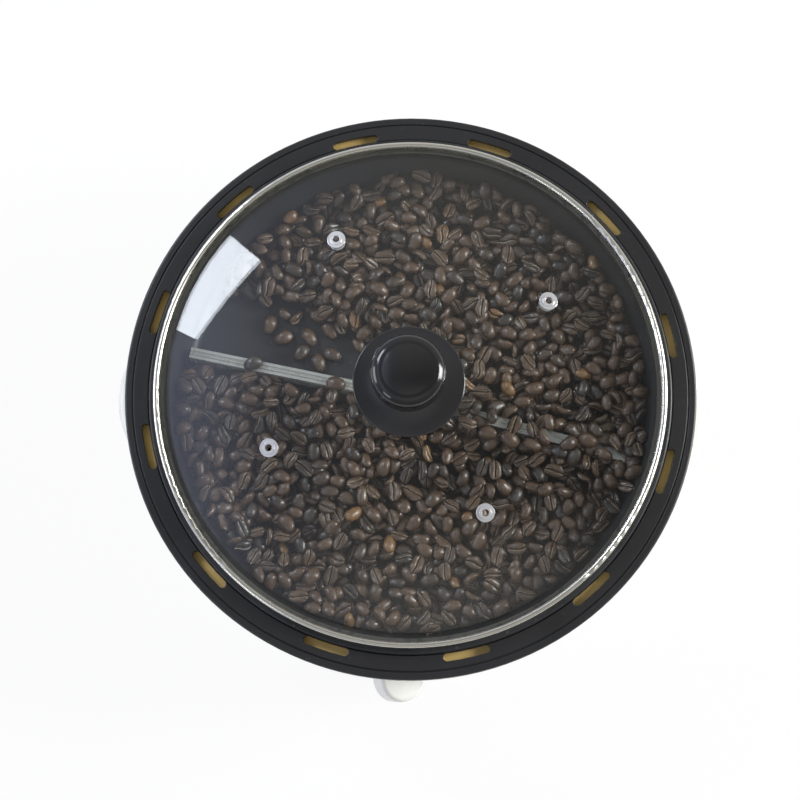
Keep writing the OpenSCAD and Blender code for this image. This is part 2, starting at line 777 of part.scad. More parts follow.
grip_screw_y = grip_lobe_r / 2;
grip_screw_z = grip_z + grip_h - 7;
grip_screw_l = 9;
grip_x = ring_r + grip_out - grip_lobe_r;
grip_wall = 4;
grip_roof = 5;

module grip() {
    top_edge = 5;
    low_edge = 2;
    color([0.97, 0.97, 0.96]) difference() {
        union() {
            difference() {
                translate([grip_x, 0, grip_z]) rotate_extrude() polygon(concat(
                    [[0, 0]],
                    arc_points([grip_lobe_r - low_edge, low_edge], low_edge, -90, 0, 5),
                    arc_points([grip_lobe_r - top_edge, grip_h - top_edge], top_edge, 0, 90, 8),
                    [[0, grip_h]]
                ));
                translate([grip_x, 0, grip_z - 1])
                    cylinder(r = grip_lobe_r - grip_wall, h = grip_h - grip_roof + 1);
            }
            for (y = [-1, 1]) translate([grip_x, y * grip_screw_y, grip_screw_z]) rotate([0, 90, 0])
                cylinder(r = 4, h = grip_lobe_r * 0.78, $fn = 48);
        }
        bowl_space(skin_gap);
        for (y = [-1, 1]) translate([grip_x, y * grip_screw_y, grip_screw_z]) rotate([0, 90, 0])
            cylinder(d = screw_d, h = grip_lobe_r * 0.7, $fn = 32);
    }
}

module right_grip() grip();
module left_grip() mirror([1, 0, 0]) grip();

module grip_screws() {
    inner_x = sqrt(pow(shell_r_at(grip_screw_z) - shell_wall, 2) - pow(grip_screw_y, 2));
    color("silver") both_sides() for (y = [-1, 1]) translate([inner_x - 2.4, y * grip_screw_y, grip_screw_z])
        rotate([0, 90, 0]) screw_up(screw_d, screw_head_d + 1, screw_head_h, grip_screw_l);
}

module base_plate() {
    vent_holes = 12;
    vent_holes_r = foot_ring_r - foot_d / 2 - 7;
    color([0.55, 0.56, 0.58]) translate([0, 0, foot_h]) difference() {
        cylinder(r = shell_bottom_r - 1, h = plate_t);
        around(4, base_screw_r) translate([0, 0, -1]) cylinder(d = screw_d + 0.4, h = 5, $fn = 32);
        around(4, foot_ring_r, 45) translate([0, 0, -1]) cylinder(d = screw_d + 0.4, h = 5, $fn = 32);
        around(vent_holes, vent_holes_r, 15) translate([0, 0, -1]) cylinder(r = 2.5, h = 5, $fn = 32);
        for (p = pillar_spots) translate([p[0], p[1], -1]) cylinder(d = screw_d, h = 5, $fn = 32);
    }
}

module base_screws() {
    color("silver") translate([0, 0, foot_h]) around(4, base_screw_r)
        screw_up(screw_d, screw_head_d, screw_head_h, plate_t + screw_bite);
}

foot_recess = 4;

module rubber_feet() {
    color([0.1, 0.1, 0.1]) around(4, foot_ring_r, 45) difference() {
        union() {
            cylinder(d1 = foot_d - 3, d2 = foot_d, h = 2);
            translate([0, 0, 2]) cylinder(d = foot_d, h = foot_h - 2);
        }
        translate([0, 0, -1]) cylinder(d = screw_head_d + 3, h = foot_recess + 1);
        cylinder(d = screw_d, h = foot_h + 1, $fn = 32);
    }
}

module foot_screws() {
    color("silver") translate([0, 0, foot_recess]) around(4, foot_ring_r, 45)
        screw_up(screw_d, screw_head_d, screw_head_h, foot_h - foot_recess + plate_t + 2);
}

// ---------- gearbox and motor ----------

module gearbox_outline(t) {
    difference() {
        linear_extrude(t) hull() for (p = pillar_spots) translate(p) circle(r = 7, $fn = 48);
        for (p = pillar_spots) translate([p[0], p[1], -1]) cylinder(d = screw_d, h = t + 2, $fn = 32);
        translate([idler_xy[0], idler_xy[1], -1]) cylinder(r = idler_pin_r, h = t + 2);
        translate([0, 0, -1]) cylinder(r = bush_r, h = t + 2);
        translate([motor_xy[0], motor_xy[1], -1]) cylinder(r = rotor_shaft_r + run_fit, h = t + 2);
    }
}

module gearbox_lower_plate()
    color([0.6, 0.62, 0.64]) translate([0, 0, gearbox_z]) gearbox_outline(gearplate_t);

module gearbox_upper_plate()
    color([0.66, 0.67, 0.7]) translate([0, 0, gearbox_top_z]) gearbox_outline(gearplate_t);

module gearbox_pillars() {
    color([0.7, 0.7, 0.72]) for (p = pillar_spots) translate([p[0], p[1], 0]) {
        translate([0, 0, shell_z]) cylinder(r = pillar_r, h = pillar_h);
        translate([0, 0, gearbox_z + gearplate_t])
            cylinder(r = pillar_r, h = gearbox_top_z - gearbox_z - gearplate_t);
        translate([0, 0, foot_h])
            cylinder(d = screw_d, h = gearbox_top_z + gearplate_t - foot_h, $fn = 32);
        translate([0, 0, gearbox_top_z + gearplate_t])
            cylinder(d = screw_head_d, h = screw_head_h, $fn = 32);
    }
}

module shaft_bushes() {
    color([0.75, 0.6, 0.3]) for (z = [gearbox_z, gearbox_top_z]) translate([0, 0, z])
        ring_tube(bush_r, shaft_r + run_fit, gearplate_t + 1);
}

module idler_axle() {
    color("silver") translate([idler_xy[0], idler_xy[1], gearbox_z])
        cylinder(r = idler_pin_r, h = gearbox_top_z + gearplate_t - gearbox_z);
}

module output_gear() {
    color([0.85, 0.82, 0.7]) translate([0, 0, layer2_z]) {
        gear(wheel_teeth, gear_w, shaft_r, 180 + 180 / wheel_teeth);
        translate([0, 0, gear_w]) ring_tube(shaft_r + 3, shaft_r, layer_gap - 0.3 - 1 + 0.5);
    }
}

// The idler's pinion points a tooth at the shaft, and its wheel opens a gap to the motor
module idler_gear() {
    color([0.8, 0.78, 0.7]) translate([idler_xy[0], idler_xy[1], 0]) {
        translate([0, 0, layer1_z])
            gear(wheel_teeth, gear_w, idler_pin_r + run_fit, motor_angle + 180 / wheel_teeth);
        translate([0, 0, layer1_z + gear_w])
            gear(pinion_teeth, layer_gap + gear_w, idler_pin_r + run_fit, 0);
        translate([0, 0, gearbox_z + gearplate_t + 0.3])
            ring_tube(idler_pin_r + 2, idler_pin_r + run_fit, layer_gap - 0.3);
    }
}

module motor_pinion() {
    color([0.8, 0.65, 0.3]) translate([motor_xy[0], motor_xy[1], layer1_z])
        gear(pinion_teeth, gear_w, rotor_shaft_r, motor_angle + 180);
}

can_wall = 1;
can_h = pillar_h - 3;
magnet_r = motor_d * 0.28;

module motor_can() {
    color([0.7, 0.71, 0.73]) translate([motor_xy[0], motor_xy[1], gearbox_z - can_h]) difference() {
        cylinder(d = motor_d, h = can_h);
        translate([0, 0, can_wall]) cylinder(d = motor_d - 2 * can_wall, h = can_h);
        translate([0, 0, -1]) cylinder(r = rotor_shaft_r + run_fit, h = can_h);
    }
}

module motor_stator() {
    color([0.5, 0.5, 0.52]) translate([motor_xy[0], motor_xy[1], gearbox_z - can_h + can_wall])
        ring_tube(magnet_r + 3, magnet_r + 0.6, can_h - can_wall);
}

module motor_coil() {
    color([0.7, 0.35, 0.15]) translate([motor_xy[0], motor_xy[1], gearbox_z - can_h + can_wall])
        ring_tube(motor_d / 2 - can_wall, magnet_r + 3, can_h - can_wall - 2);
}

module motor_rotor() {
    color([0.3, 0.3, 0.33]) translate([motor_xy[0], motor_xy[1], 0]) {
        translate([0, 0, gearbox_z - can_h])
            cylinder(r = rotor_shaft_r, h = layer1_z + gear_w - gearbox_z + can_h);
        translate([0, 0, gearbox_z - can_h + can_wall + 1]) cylinder(r = magnet_r, h = can_h - can_wall - 3);
    }
}

// ---------- control panel ----------

module control_panel() {
    cut_l = 4 * panel_wall;
    color([0.93, 0.93, 0.92]) difference() {
        rounded_block(panel_w, panel_h, panel_z, panel_edge, -panel_y, -panel_back_y);
        rounded_block(panel_w - 2 * panel_wall, panel_h - 2 * panel_wall, panel_z + panel_wall,
            panel_edge - panel_wall / 2, -panel_y + panel_wall, -panel_back_y + 1);
        translate([0, -panel_y - 1, dial_z]) rotate([-90, 0, 0]) cylinder(r = neck_r, h = cut_l);
        translate([lens_x, -panel_y - 1, dial_z]) rotate([-90, 0, 0]) cylinder(r = lens_r, h = cut_l);
        translate([switch_x - switch_w / 2, -panel_y - 1, dial_z - switch_h / 2])
            cube([switch_w, cut_l, switch_h]);
        translate([0, 0, shield_z - 1.2]) cylinder(r = shield_top_r + 1, h = far);
    }
}

// Thin scale behind the dial: a plain ring with tick marks from 9 o'clock round to 6 o'clock
module dial_plate() {
    plate_r = dial_skirt_d / 2 + 3;
    sheet = 0.6;
    color([0.75, 0.76, 0.78]) translate([0, -panel_y, dial_z]) rotate([90, 0, 0]) {
        ring_tube(plate_r, neck_r + 4, sheet);
        for (i = [0 : tick_count - 1]) rotate([0, 0, 180 - i * tick_step])
            translate([plate_r - 2.4, -0.4, sheet]) cube([2, 0.8, 0.3]);
    }
}

// Round skirt with a broad grip across it, turned from 9 o'clock to its first tick
module temperature_dial() {
    skirt_r = dial_skirt_d / 2;
    end_r = dial_grip_w / 2;
    end_z = dial_reach - end_r;
    edge = 2;
    pointer_w = 1.2;
    pointer_deep = 1;
    color([0.98, 0.98, 0.97]) translate([0, -panel_y, dial_z]) rotate([90, 0, 0])
        rotate([0, 0, -dial_rest]) difference() {
            union() {
                translate([0, 0, dial_gap]) rotate_extrude() polygon(concat(
                    [[0, 0], [skirt_r, 0]],
                    arc_points([skirt_r - 1.5, dial_skirt_h - 1.5], 1.5, 0, 90, 5),
                    [[0, dial_skirt_h]]
                ));
                translate([0, 0, dial_gap]) linear_extrude(end_z - dial_gap)
                    rounded_rect(dial_grip_w, dial_grip_t, edge);
                translate([0, 0, end_z]) rotate([90, 0, 0]) rotate_extrude(angle = 180) intersection() {
                    rounded_rect(dial_grip_w, dial_grip_t, edge);
                    translate([0, -dial_grip_t / 2]) square([end_r, dial_grip_t]);
                }
            }
            translate([0, 0, -1]) cylinder(r = spindle_r, h = dial_reach - 5);
            translate([-skirt_r - 1, -pointer_w / 2, dial_gap + dial_skirt_h - pointer_deep])
                cube([skirt_r - end_r + 1 - 0.4, pointer_w, 2]);
        }
}

module dial_spindle() {
    color("silver") translate([0, -panel_y + panel_wall + 8, dial_z]) rotate([90, 0, 0])
        cylinder(r = spindle_r, h = panel_wall + 8 + dial_reach - 8);
}

module thermostat() {
    body_front = -panel_y + panel_wall;
    color([0.88, 0.86, 0.8]) difference() {
        union() {
            translate([-thermostat_w / 2, body_front, dial_z - thermostat_h / 2])
                cube([thermostat_w, thermostat_d, thermostat_h]);
            translate([0, body_front, dial_z]) rotate([90, 0, 0])
                cylinder(r = neck_r - skin_gap, h = panel_wall + 0.4);
        }
        translate([0, body_front + 12, dial_z]) rotate([90, 0, 0])
            cylinder(r = spindle_r + run_fit, h = 12 + panel_wall + 2);
    }
}

module thermostat_nut() {
    color([0.7, 0.7, 0.7]) translate([0, -panel_y, dial_z]) rotate([90, 0, 0]) difference() {
        cylinder(r = neck_r + 3.4, h = 0.9, $fn = 6);
        translate([0, 0, -1]) cylinder(r = neck_r, h = 4);
    }
}

module indicator_lens() {
    color([0.9, 0.25, 0.1]) translate([lens_x, -panel_y + panel_wall, dial_z]) rotate([90, 0, 0]) {
        cylinder(r = lens_r - skin_gap, h = panel_wall);
        translate([0, 0, panel_wall]) cylinder(r1 = lens_r + 0.6, r2 = lens_r - 1, h = 1.2);
        translate([0, 0, -8]) cylinder(r = lens_r - 1, h = 8);
    }
}

module switch_frame() {
    rim = 1;
    color([0.1, 0.1, 0.1]) translate([switch_x, -panel_y, dial_z]) difference() {
        union() {
            translate([-switch_w / 2 - rim, -1.2, -switch_h / 2 - rim])
                cube([switch_w + 2 * rim, 1.2, switch_h + 2 * rim]);
            translate([-switch_w / 2 + skin_gap, 0, -switch_h / 2 + skin_gap])
                cube([switch_w - 2 * skin_gap, 16, switch_h - 2 * skin_gap]);
        }
        translate([-switch_w / 2 + switch_wall, -2, -switch_h / 2 + switch_wall])
            cube([switch_w - 2 * switch_wall, 11, switch_h - 2 * switch_wall]);
        translate([-switch_w, rocker_y, 0]) rotate([0, 90, 0])
            cylinder(r = rocker_pin_r + run_fit, h = 2 * switch_w, $fn = 48);
    }
}

rocker_y = 2;
rocker_pin_r = 1.2;
switch_wall = 1.2;

module switch_rocker() {
    half_h = switch_h / 2 - switch_wall - 0.7;
    half_w = switch_w / 2 - switch_wall - seat_gap;
    pin_l = switch_w - 2 * skin_gap - 0.2;
    color([0.15, 0.15, 0.15]) translate([switch_x, -panel_y + rocker_y, dial_z]) {
        rotate([rocker_tilt, 0, 0]) rotate([90, 0, 90]) translate([0, 0, -half_w]) linear_extrude(2 * half_w)
            polygon([[-3.2, -half_h + 0.3], [-3.2, half_h - 0.3], [-2.4, half_h], [1, half_h - 2],
                     [4.5, 1.5], [4.5, -1.5], [1, -half_h + 2], [-2.4, -half_h]]);
        rotate([0, 90, 0]) cylinder(r = rocker_pin_r, h = pin_l, center = true, $fn = 48);
    }
}

// ---------- power inlet ----------

module inlet_screw_places() {
    for (s = [-1, 1]) translate([s * inlet_screw_x, inlet_y, inlet_mid_z]) rotate([90, 0, 0]) children();
}

module inlet_housing() {
    hole_w = socket_w + 2 * socket_wall + 0.2;
    hole_h = socket_h + 2 * socket_wall + 0.2;
    face_y = inlet_y - inlet_flange_t;
    depth = 68;
    color([0.94, 0.94, 0.92]) difference() {
        rounded_block(inlet_w, inlet_h, inlet_z, inlet_edge, face_y - depth, face_y);
        rounded_block(inlet_w - 2 * inlet_wall, inlet_h - 2 * inlet_wall, inlet_z + inlet_wall,
            inlet_edge - inlet_wall / 2, face_y - depth - 1, face_y - inlet_wall);
        translate([-hole_w / 2, face_y - 8, inlet_mid_z - hole_h / 2]) cube([hole_w, 20, hole_h]);
        inlet_screw_places() cylinder(d = screw_d, h = 10, $fn = 32);
        bowl_space(skin_gap);
    }
}

module pin_blocks(gap = 0) {
    for (p = [[-pin_x, -1], [0, 3], [pin_x, -1]])
        translate([p[0] - 1 - gap, inlet_y - socket_depth - pin_reach, inlet_mid_z + p[1] - 2 - gap])
            cube([2 + 2 * gap, socket_depth, 4 + 2 * gap]);
}

module power_inlet() {
    flange_w = inlet_w - 6;
    flange_h = socket_h + 2 * socket_wall + 4;
    shell_w = socket_w + 2 * socket_wall;
    shell_depth = socket_depth + socket_wall;
    color([0.12, 0.12, 0.12]) difference() {
        union() {
            rounded_block(flange_w, flange_h, inlet_mid_z - flange_h / 2, 3, inlet_y - inlet_flange_t, inlet_y);
            rounded_block(shell_w, socket_h + 2 * socket_wall, inlet_mid_z - socket_h / 2 - socket_wall, 3,
                inlet_y - shell_depth, inlet_y - 1);
        }
        rounded_block(socket_w, socket_h, inlet_mid_z - socket_h / 2, 2, inlet_y - socket_depth, inlet_y + 1);
        inlet_screw_places() {
            translate([0, 0, -1]) cylinder(d = screw_d, h = 10, $fn = 32);
            translate([0, 0, -1]) cylinder(d = screw_head_d, h = 1 + inlet_head_h, $fn = 48);
        }
        pin_blocks(skin_gap);
    }
}

module inlet_pins() color([0.8, 0.75, 0.5]) pin_blocks();

inlet_head_h = 1.2;

module inlet_screws() {
    color("silver") inlet_screw_places() translate([0, 0, inlet_head_h])
        screw_up(screw_d, screw_head_d - 0.6, inlet_head_h, inlet_flange_t + screw_bite);
}

block_w = 36;
block_d = 16;
block_h = 14;
block_y = shell_bottom_r - 31;
block_top = shell_z + block_h;
well_step = block_w / 3;
well_r = 2.5;

module terminal_block() {
    color([0.9, 0.9, 0.85]) difference() {
        translate([-block_w / 2, block_y - block_d / 2, shell_z]) cube([block_w, block_d, block_h]);
        for (i = [-1 : 1]) translate([i * well_step, block_y, shell_z + block_h / 2])
            cylinder(r = well_r, h = block_h, $fn = 32);
    }
}

module wiring() {
    wire_r = 1.1;
    pin_end = inlet_y - socket_depth - pin_reach;
    pin_z = inlet_mid_z - 1;
    terminal = element_r * [sin(element_gap / 2), cos(element_gap / 2)];
    color([0.75, 0.1, 0.1]) {
        for (s = [-1, 1]) bent_bar([
            [s * pin_x, pin_end, pin_z], [s * pin_x, block_y + block_d * 1.6, pin_z],
            [s * pin_x, block_y + block_d / 4, block_top + block_h / 4],
            [s * pin_x, block_y + block_d / 4, block_top]
        ], wire_r);
        for (s = [-1, 1]) bent_bar([
            [s * well_step, block_y - block_d / 3, block_top],
            [s * well_step, block_y - block_d / 3, block_top + block_h * 0.7],
            [s * terminal[0], terminal[1], block_top + block_h * 1.15],
            [s * terminal[0], terminal[1], element_z - terminal_drop - terminal_pin_l]
        ], wire_r);
    }
}

lid_glass();
lid_band();
vent_eyelets();
knob_saucer();
lid_knob();
knob_screw();
knob_washers();
top_ring();
ring_screws();
roasting_pan();
pan_bush();
bush_nut();
stir_bar();
cap_nut();
stir_shaft();
shaft_clip();
heating_element();
element_clips();
thermal_cutout();
heat_shield();
sensor_tube();
body_shell();
left_grip();
right_grip();
grip_screws();
base_plate();
base_screws();
rubber_feet();
foot_screws();
gearbox_lower_plate();
gearbox_upper_plate();
gearbox_pillars();
shaft_bushes();
idler_axle();
output_gear();
idler_gear();
motor_pinion();
motor_rotor();
motor_can();
motor_stator();
motor_coil();
control_panel();
dial_plate();
temperature_dial();
dial_spindle();
thermostat();
thermostat_nut();
indicator_lens();
switch_frame();
switch_rocker();
inlet_housing();
power_inlet();
inlet_pins();
inlet_screws();
terminal_block();
wiring();
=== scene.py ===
"""Dresses the home coffee bean roaster: its finishes, the bed of beans, and the plain studio that it
stands in. All lengths are metres in the part's own frame."""
import math

import bpy
import numpy as np
from bpy.props import FloatProperty, FloatVectorProperty, IntProperty, PointerProperty
from bpy.types import Operator, Panel, PropertyGroup
from mathutils import Matrix, Vector


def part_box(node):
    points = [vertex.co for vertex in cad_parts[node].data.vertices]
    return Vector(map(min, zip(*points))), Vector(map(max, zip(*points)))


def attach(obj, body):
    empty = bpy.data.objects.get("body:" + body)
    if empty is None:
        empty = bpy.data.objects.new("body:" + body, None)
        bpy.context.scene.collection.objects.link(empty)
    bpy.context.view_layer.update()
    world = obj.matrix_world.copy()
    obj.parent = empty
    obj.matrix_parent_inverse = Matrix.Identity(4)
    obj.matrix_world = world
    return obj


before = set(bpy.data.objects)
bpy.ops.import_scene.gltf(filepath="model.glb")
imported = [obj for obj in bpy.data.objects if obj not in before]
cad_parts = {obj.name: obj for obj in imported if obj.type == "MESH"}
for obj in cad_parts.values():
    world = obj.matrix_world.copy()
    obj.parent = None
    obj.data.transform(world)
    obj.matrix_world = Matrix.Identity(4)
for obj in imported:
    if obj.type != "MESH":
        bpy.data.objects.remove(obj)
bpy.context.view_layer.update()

bl_info = {
    "name": "Coffee Roaster Looks",
    "version": (1, 0, 0),
    "blender": (4, 5, 0),
    "location": "View3D > Sidebar > Roaster",
    "description": "Finishes, beans and studio for a countertop coffee bean roaster",
    "category": "Object",
}

MM = 0.001
# Directions of the stirrer's bare arm and of the arm that the beans cover
ARM_ANGLE = math.radians(171)
COVERED_ANGLE = math.radians(347)
# How far the bar's two painted dark reflection lines lie from its middle
REFLECTION_LINE_OFFSET = 1.0 * MM
# How far in from the lid band's edge its bead begins, and where it is fully polished; inside it, the lip's
# dark colour is painted shade
BEAD_START, BEAD_FULL = 3.5 * MM, 3.1 * MM


def screen(red, green, blue):
    """A colour picked as 0 to 255 on a screen, as the linear colour that shaders use."""
    def linear(level):
        share = level / 255
        return share / 12.92 if share <= 0.04045 else ((share + 0.055) / 1.055) ** 2.4
    return (linear(red), linear(green), linear(blue))


def colour_prop(name, description, *levels):
    """A colour that a user can pick, with its default as 0 to 255 levels."""
    return FloatVectorProperty(name=name, description=description, subtype="COLOR", size=3,
                               min=0.0, max=1.0, default=screen(*levels))


def length_prop(name, description, default):
    """A length that a user can set, in metres."""
    return FloatProperty(name=name, description=description, unit="LENGTH", default=default, precision=4)


# ---------- sizes and colours that a user would change ----------

class RoasterColours(PropertyGroup):
    """The colours of the roaster's finishes."""

    shell_white: colour_prop("Shell white", "Body, grips, panel and dial", 232, 232, 226)
    ring_black: colour_prop("Ring black", "Satin enamel of the top ring", 37, 37, 38)
    knob_black: colour_prop("Knob black", "Phenolic knob and saucer", 30, 30, 31)
    pan_grey: colour_prop("Pan grey", "Non-stick coating of the pan", 42, 43, 45)
    band_steel: colour_prop("Band steel", "Polished band of the lid", 226, 224, 214)
    bar_steel: colour_prop("Bar steel", "Drawn bar of the stirrer", 222, 223, 216)
    shield_gold: colour_prop("Shield gold", "Chromated heat shield", 252, 216, 138)
    bean_brown: colour_prop("Bean brown", "Roasted beans, as most of them are", 105, 80, 58)
    bean_dark: colour_prop("Bean dark", "The darkest beans", 58, 48, 39)
    bean_light: colour_prop("Bean light", "The lightest beans", 150, 110, 64)
    chaff: colour_prop("Chaff", "Silver skin left in the beans' creases", 186, 166, 138)


class RoasterBeans(PropertyGroup):
    """The sizes of the beans and of their bed in the pan."""

    length: length_prop("Bean length", "Length of a bean of middling size", 10.6 * MM)
    width: length_prop("Bean width", "Width of a bean of middling size", 7.4 * MM)
    height: length_prop("Bean height", "Thickness of a bean from its flat face to its back", 4.8 * MM)
    bed_rise: length_prop("Bed rise", "How far the bed's top lies above the top of the arms", 1.5 * MM)
    cover: length_prop("Cover", "How much deeper the beans lie over the covered arm", 6.4 * MM)
    wall_rise: length_prop("Rise at the wall", "How much higher the beans lie at the pan's wall", 3.5 * MM)
    swept_inner: length_prop("Swept width", "Width of the bare strip behind the arm, at the hub", 13 * MM)
    swept_spread: FloatProperty(name="Swept spread", default=0.15, min=0.0, max=0.5,
                                description="How much wider the bare strip gets for each metre outwards")
    repose: FloatProperty(name="Slope", description="Steepness of the bed's edge at the bare strip",
                          subtype="ANGLE", default=math.radians(40))
    seed: IntProperty(name="Seed", description="Picks one of many ways for the beans to lie", default=11)


class RoasterStudio(PropertyGroup):
    """The camera's place and the light's level."""

    azimuth: FloatProperty(name="Azimuth", description="Direction that the camera stands in",
                           subtype="ANGLE", default=math.radians(9.78))
    elevation: FloatProperty(name="Elevation", description="Height of the camera above the horizon",
                             subtype="ANGLE", default=math.radians(79.42))
    roll: FloatProperty(name="Roll", description="Turn of the camera about its own view line",
                        subtype="ANGLE", default=math.radians(-6.92))
    distance: length_prop("Distance", "From the camera to the point that it looks at", 0.9276)
    aim: FloatVectorProperty(name="Aim", description="The point that the camera looks at", size=3,
                             subtype="XYZ", unit="LENGTH", default=(-4.9 * MM, -4.6 * MM, 110 * MM))
    lens: FloatProperty(name="Lens", description="Focal length in millimetres", default=79.45, min=20.0)
    room_level: FloatProperty(name="Room level", description="Strength of the light from all round",
                              default=1.0, min=0.0)
    lamp_level: FloatProperty(name="Lamp level", default=10.4, min=0.0,
                              description="Radiance of the window that shows in the lid; the rest follow it")


# ---------- shader maths and finishes ----------

class Value:
    """A number that varies over a surface: a socket that Python's operators add Math nodes to."""

    def __init__(self, finish, socket):
        self.finish = finish
        self.socket = socket

    def maths(self, operation, *operands):
        """The value that a Math node makes of these operands."""
        node = self.finish.node("ShaderNodeMath", {"operation": operation}, dict(enumerate(operands)))
        return Value(self.finish, node.outputs[0])

    def __add__(self, other):
        return self.maths("ADD", self, other)

    def __sub__(self, other):
        return self.maths("SUBTRACT", self, other)

    def __rsub__(self, other):
        return self.maths("SUBTRACT", other, self)

    def __mul__(self, other):
        return self.maths("MULTIPLY", self, other)

    def __pow__(self, other):
        return self.maths("POWER", self, other)

    def __abs__(self):
        return self.maths("ABSOLUTE", self)

    def at_least(self, low):
        """This value, or the low one where it is less."""
        return self.maths("MAXIMUM", self, low)

    __radd__ = __add__
    __rmul__ = __mul__

    def ramp(self, low, high, start=0.0, end=1.0):
        """Goes smoothly from start to end as this value goes from low to high."""
        node = self.finish.node("ShaderNodeMapRange", {"interpolation_type": "SMOOTHSTEP"}, {
            "Value": self, "From Min": low, "From Max": high, "To Min": start, "To Max": end})
        return Value(self.finish, node.outputs["Result"])


class Finish:
    """A procedural material: a Principled shader and the nodes that vary it over the surface. The light on
    sharp edges is softened, as if they were rounded by the radius that is given as edge."""

    def __init__(self, name, fixed=None, edge=None):
        self.material = bpy.data.materials.new(name)
        self.material.use_nodes = True
        self.start(self.material.node_tree)
        self.output = self.node("ShaderNodeOutputMaterial")
        self.shader = self.node("ShaderNodeBsdfPrincipled", {}, fixed)
        self.show(self.shader.outputs[0])
        self.place = self.node("ShaderNodeTexCoord").outputs["Object"]
        self.normal = None
        if edge:
            self.normal = self.node("ShaderNodeBevel", {"samples": 6}, {"Radius": edge}).outputs[0]

    def start(self, tree):
        """Takes an empty node tree to build in."""
        self.nodes = tree.nodes
        self.links = tree.links
        self.nodes.clear()

    def show(self, socket):
        """Makes a shader's socket the one that shows."""
        self.links.new(socket, self.output.inputs["Surface"])

    def node(self, kind, settings=None, inputs=None):
        """Adds a node: its settings first, then the values or links of its sockets."""
        made = self.nodes.new(kind)
        for name, value in (settings or {}).items():
            setattr(made, name, value)
        for name, value in (inputs or {}).items():
            socket = made.inputs[name]
            if isinstance(value, Value):
                value = value.socket
            if isinstance(value, bpy.types.NodeSocket):
                self.links.new(value, socket)
            else:
                socket.default_value = (*value[:3], 1.0) if socket.type == "RGBA" else value
        return made

    def axes(self, place=None):
        """X, Y and Z of a place on the surface, in metres."""
        split = self.node("ShaderNodeSeparateXYZ", {}, {0: place or self.place})
        return [Value(self, socket) for socket in split.outputs]

    def point(self, x, y, z):
        """A vector made of three values."""
        return self.node("ShaderNodeCombineXYZ", {}, {0: x, 1: y, 2: z}).outputs[0]

    def turned(self, angle, stretch):
        """The place, turned about Z and stretched along the turned axes."""
        about = self.node("ShaderNodeVectorRotate", {"rotation_type": "Z_AXIS"},
                          {"Vector": self.place, "Angle": -angle})
        return self.node("ShaderNodeVectorMath", {"operation": "MULTIPLY"},
                         {0: about.outputs[0], 1: stretch}).outputs[0]

    def radius(self):
        """The distance from the part's own vertical axis."""
        x, y, _ = self.axes()
        return (x * x + y * y) ** 0.5

    def noise(self, size, detail=2.0, place=None, roughness=0.5):
        """Cloudy noise whose patches are about this size in metres."""
        made = self.node("ShaderNodeTexNoise", {}, {
            "Vector": place or self.place, "Scale": 1 / size, "Detail": detail, "Roughness": roughness})
        return Value(self, made.outputs["Fac"])

    def specks(self, size, amount):
        """Small round specks: 1 on a speck and 0 between, on this share of the cells of this size."""
        cells = self.node("ShaderNodeTexVoronoi", {}, {"Vector": self.place, "Scale": 1 / size})
        lot = self.axes(cells.outputs["Color"])[0]
        near = Value(self, cells.outputs["Distance"]).ramp(0.18, 0.3, 1.0, 0.0)
        return near * lot.ramp(amount, amount + 0.02, 1.0, 0.0)

    def blend(self, share, below, above, how="MIX"):
        """A colour between two colours."""
        mix = self.node("ShaderNodeMix", {"data_type": "RGBA", "blend_type": how},
                        {0: share, 6: below, 7: above})
        return mix.outputs[2]

    def relief(self, height, depth):
        """Adds a fine relief of this depth in metres to the surface's normal."""
        inputs = {"Height": height, "Distance": depth, "Strength": 1.0}
        if self.normal:
            inputs["Normal"] = self.normal
        self.normal = self.node("ShaderNodeBump", {}, inputs).outputs[0]

    def finish(self, colour, roughness, metallic=None):
        """Joins what varies to the shader, and returns the material."""
        wanted = {"Base Color": colour, "Roughness": roughness, "Metallic": metallic, "Normal": self.normal}
        for name, value in wanted.items():
            if isinstance(value, Value):
                value = value.socket
            if value is not None:
                self.links.new(value, self.shader.inputs[name])
        return self.material


def darker(colour, share):
    """A colour times a share."""
    return tuple(level * share for level in colour)


def moulded(name, colour, roughness, grain, edge, soil=0.9):
    """Moulded plastic, rubber or fired ceramic: a fine grain, faint flow marks and a trace of soil."""
    made = Finish(name, edge=edge)
    flow = made.noise(40 * MM, 3)
    grain_noise = made.noise(0.5 * MM, 3)
    soiled = made.noise(9 * MM, 5).ramp(0.5, 0.8) * 0.6
    made.relief(made.noise(14 * MM, 2), grain * 6)
    made.relief(grain_noise, grain)
    base = made.blend(flow.ramp(0.3, 0.7), darker(colour, 0.97), colour)
    shaded = made.blend(soiled, base, darker(colour, soil))
    return made.finish(shaded, roughness + grain_noise * 0.06 + soiled * 0.12)


def polished(name, colour, roughness, wear=0.08, metallic=1.0):
    """Bright metal that turns about the vertical axis: fine rings from polishing, and faint smears."""
    made = Finish(name, {"Metallic": metallic}, 0.3 * MM)
    _, _, z = made.axes()
    rings = made.noise(0.25 * MM, 3, made.point(made.radius(), z, 0.0))
    smears = made.noise(11 * MM, 4).ramp(0.45, 0.75)
    made.relief(rings, 0.004 * MM)
    tint = made.blend(smears * 0.5, colour, darker(colour, 0.86))
    return made.finish(tint, roughness + rings * 0.05 + smears * wear)


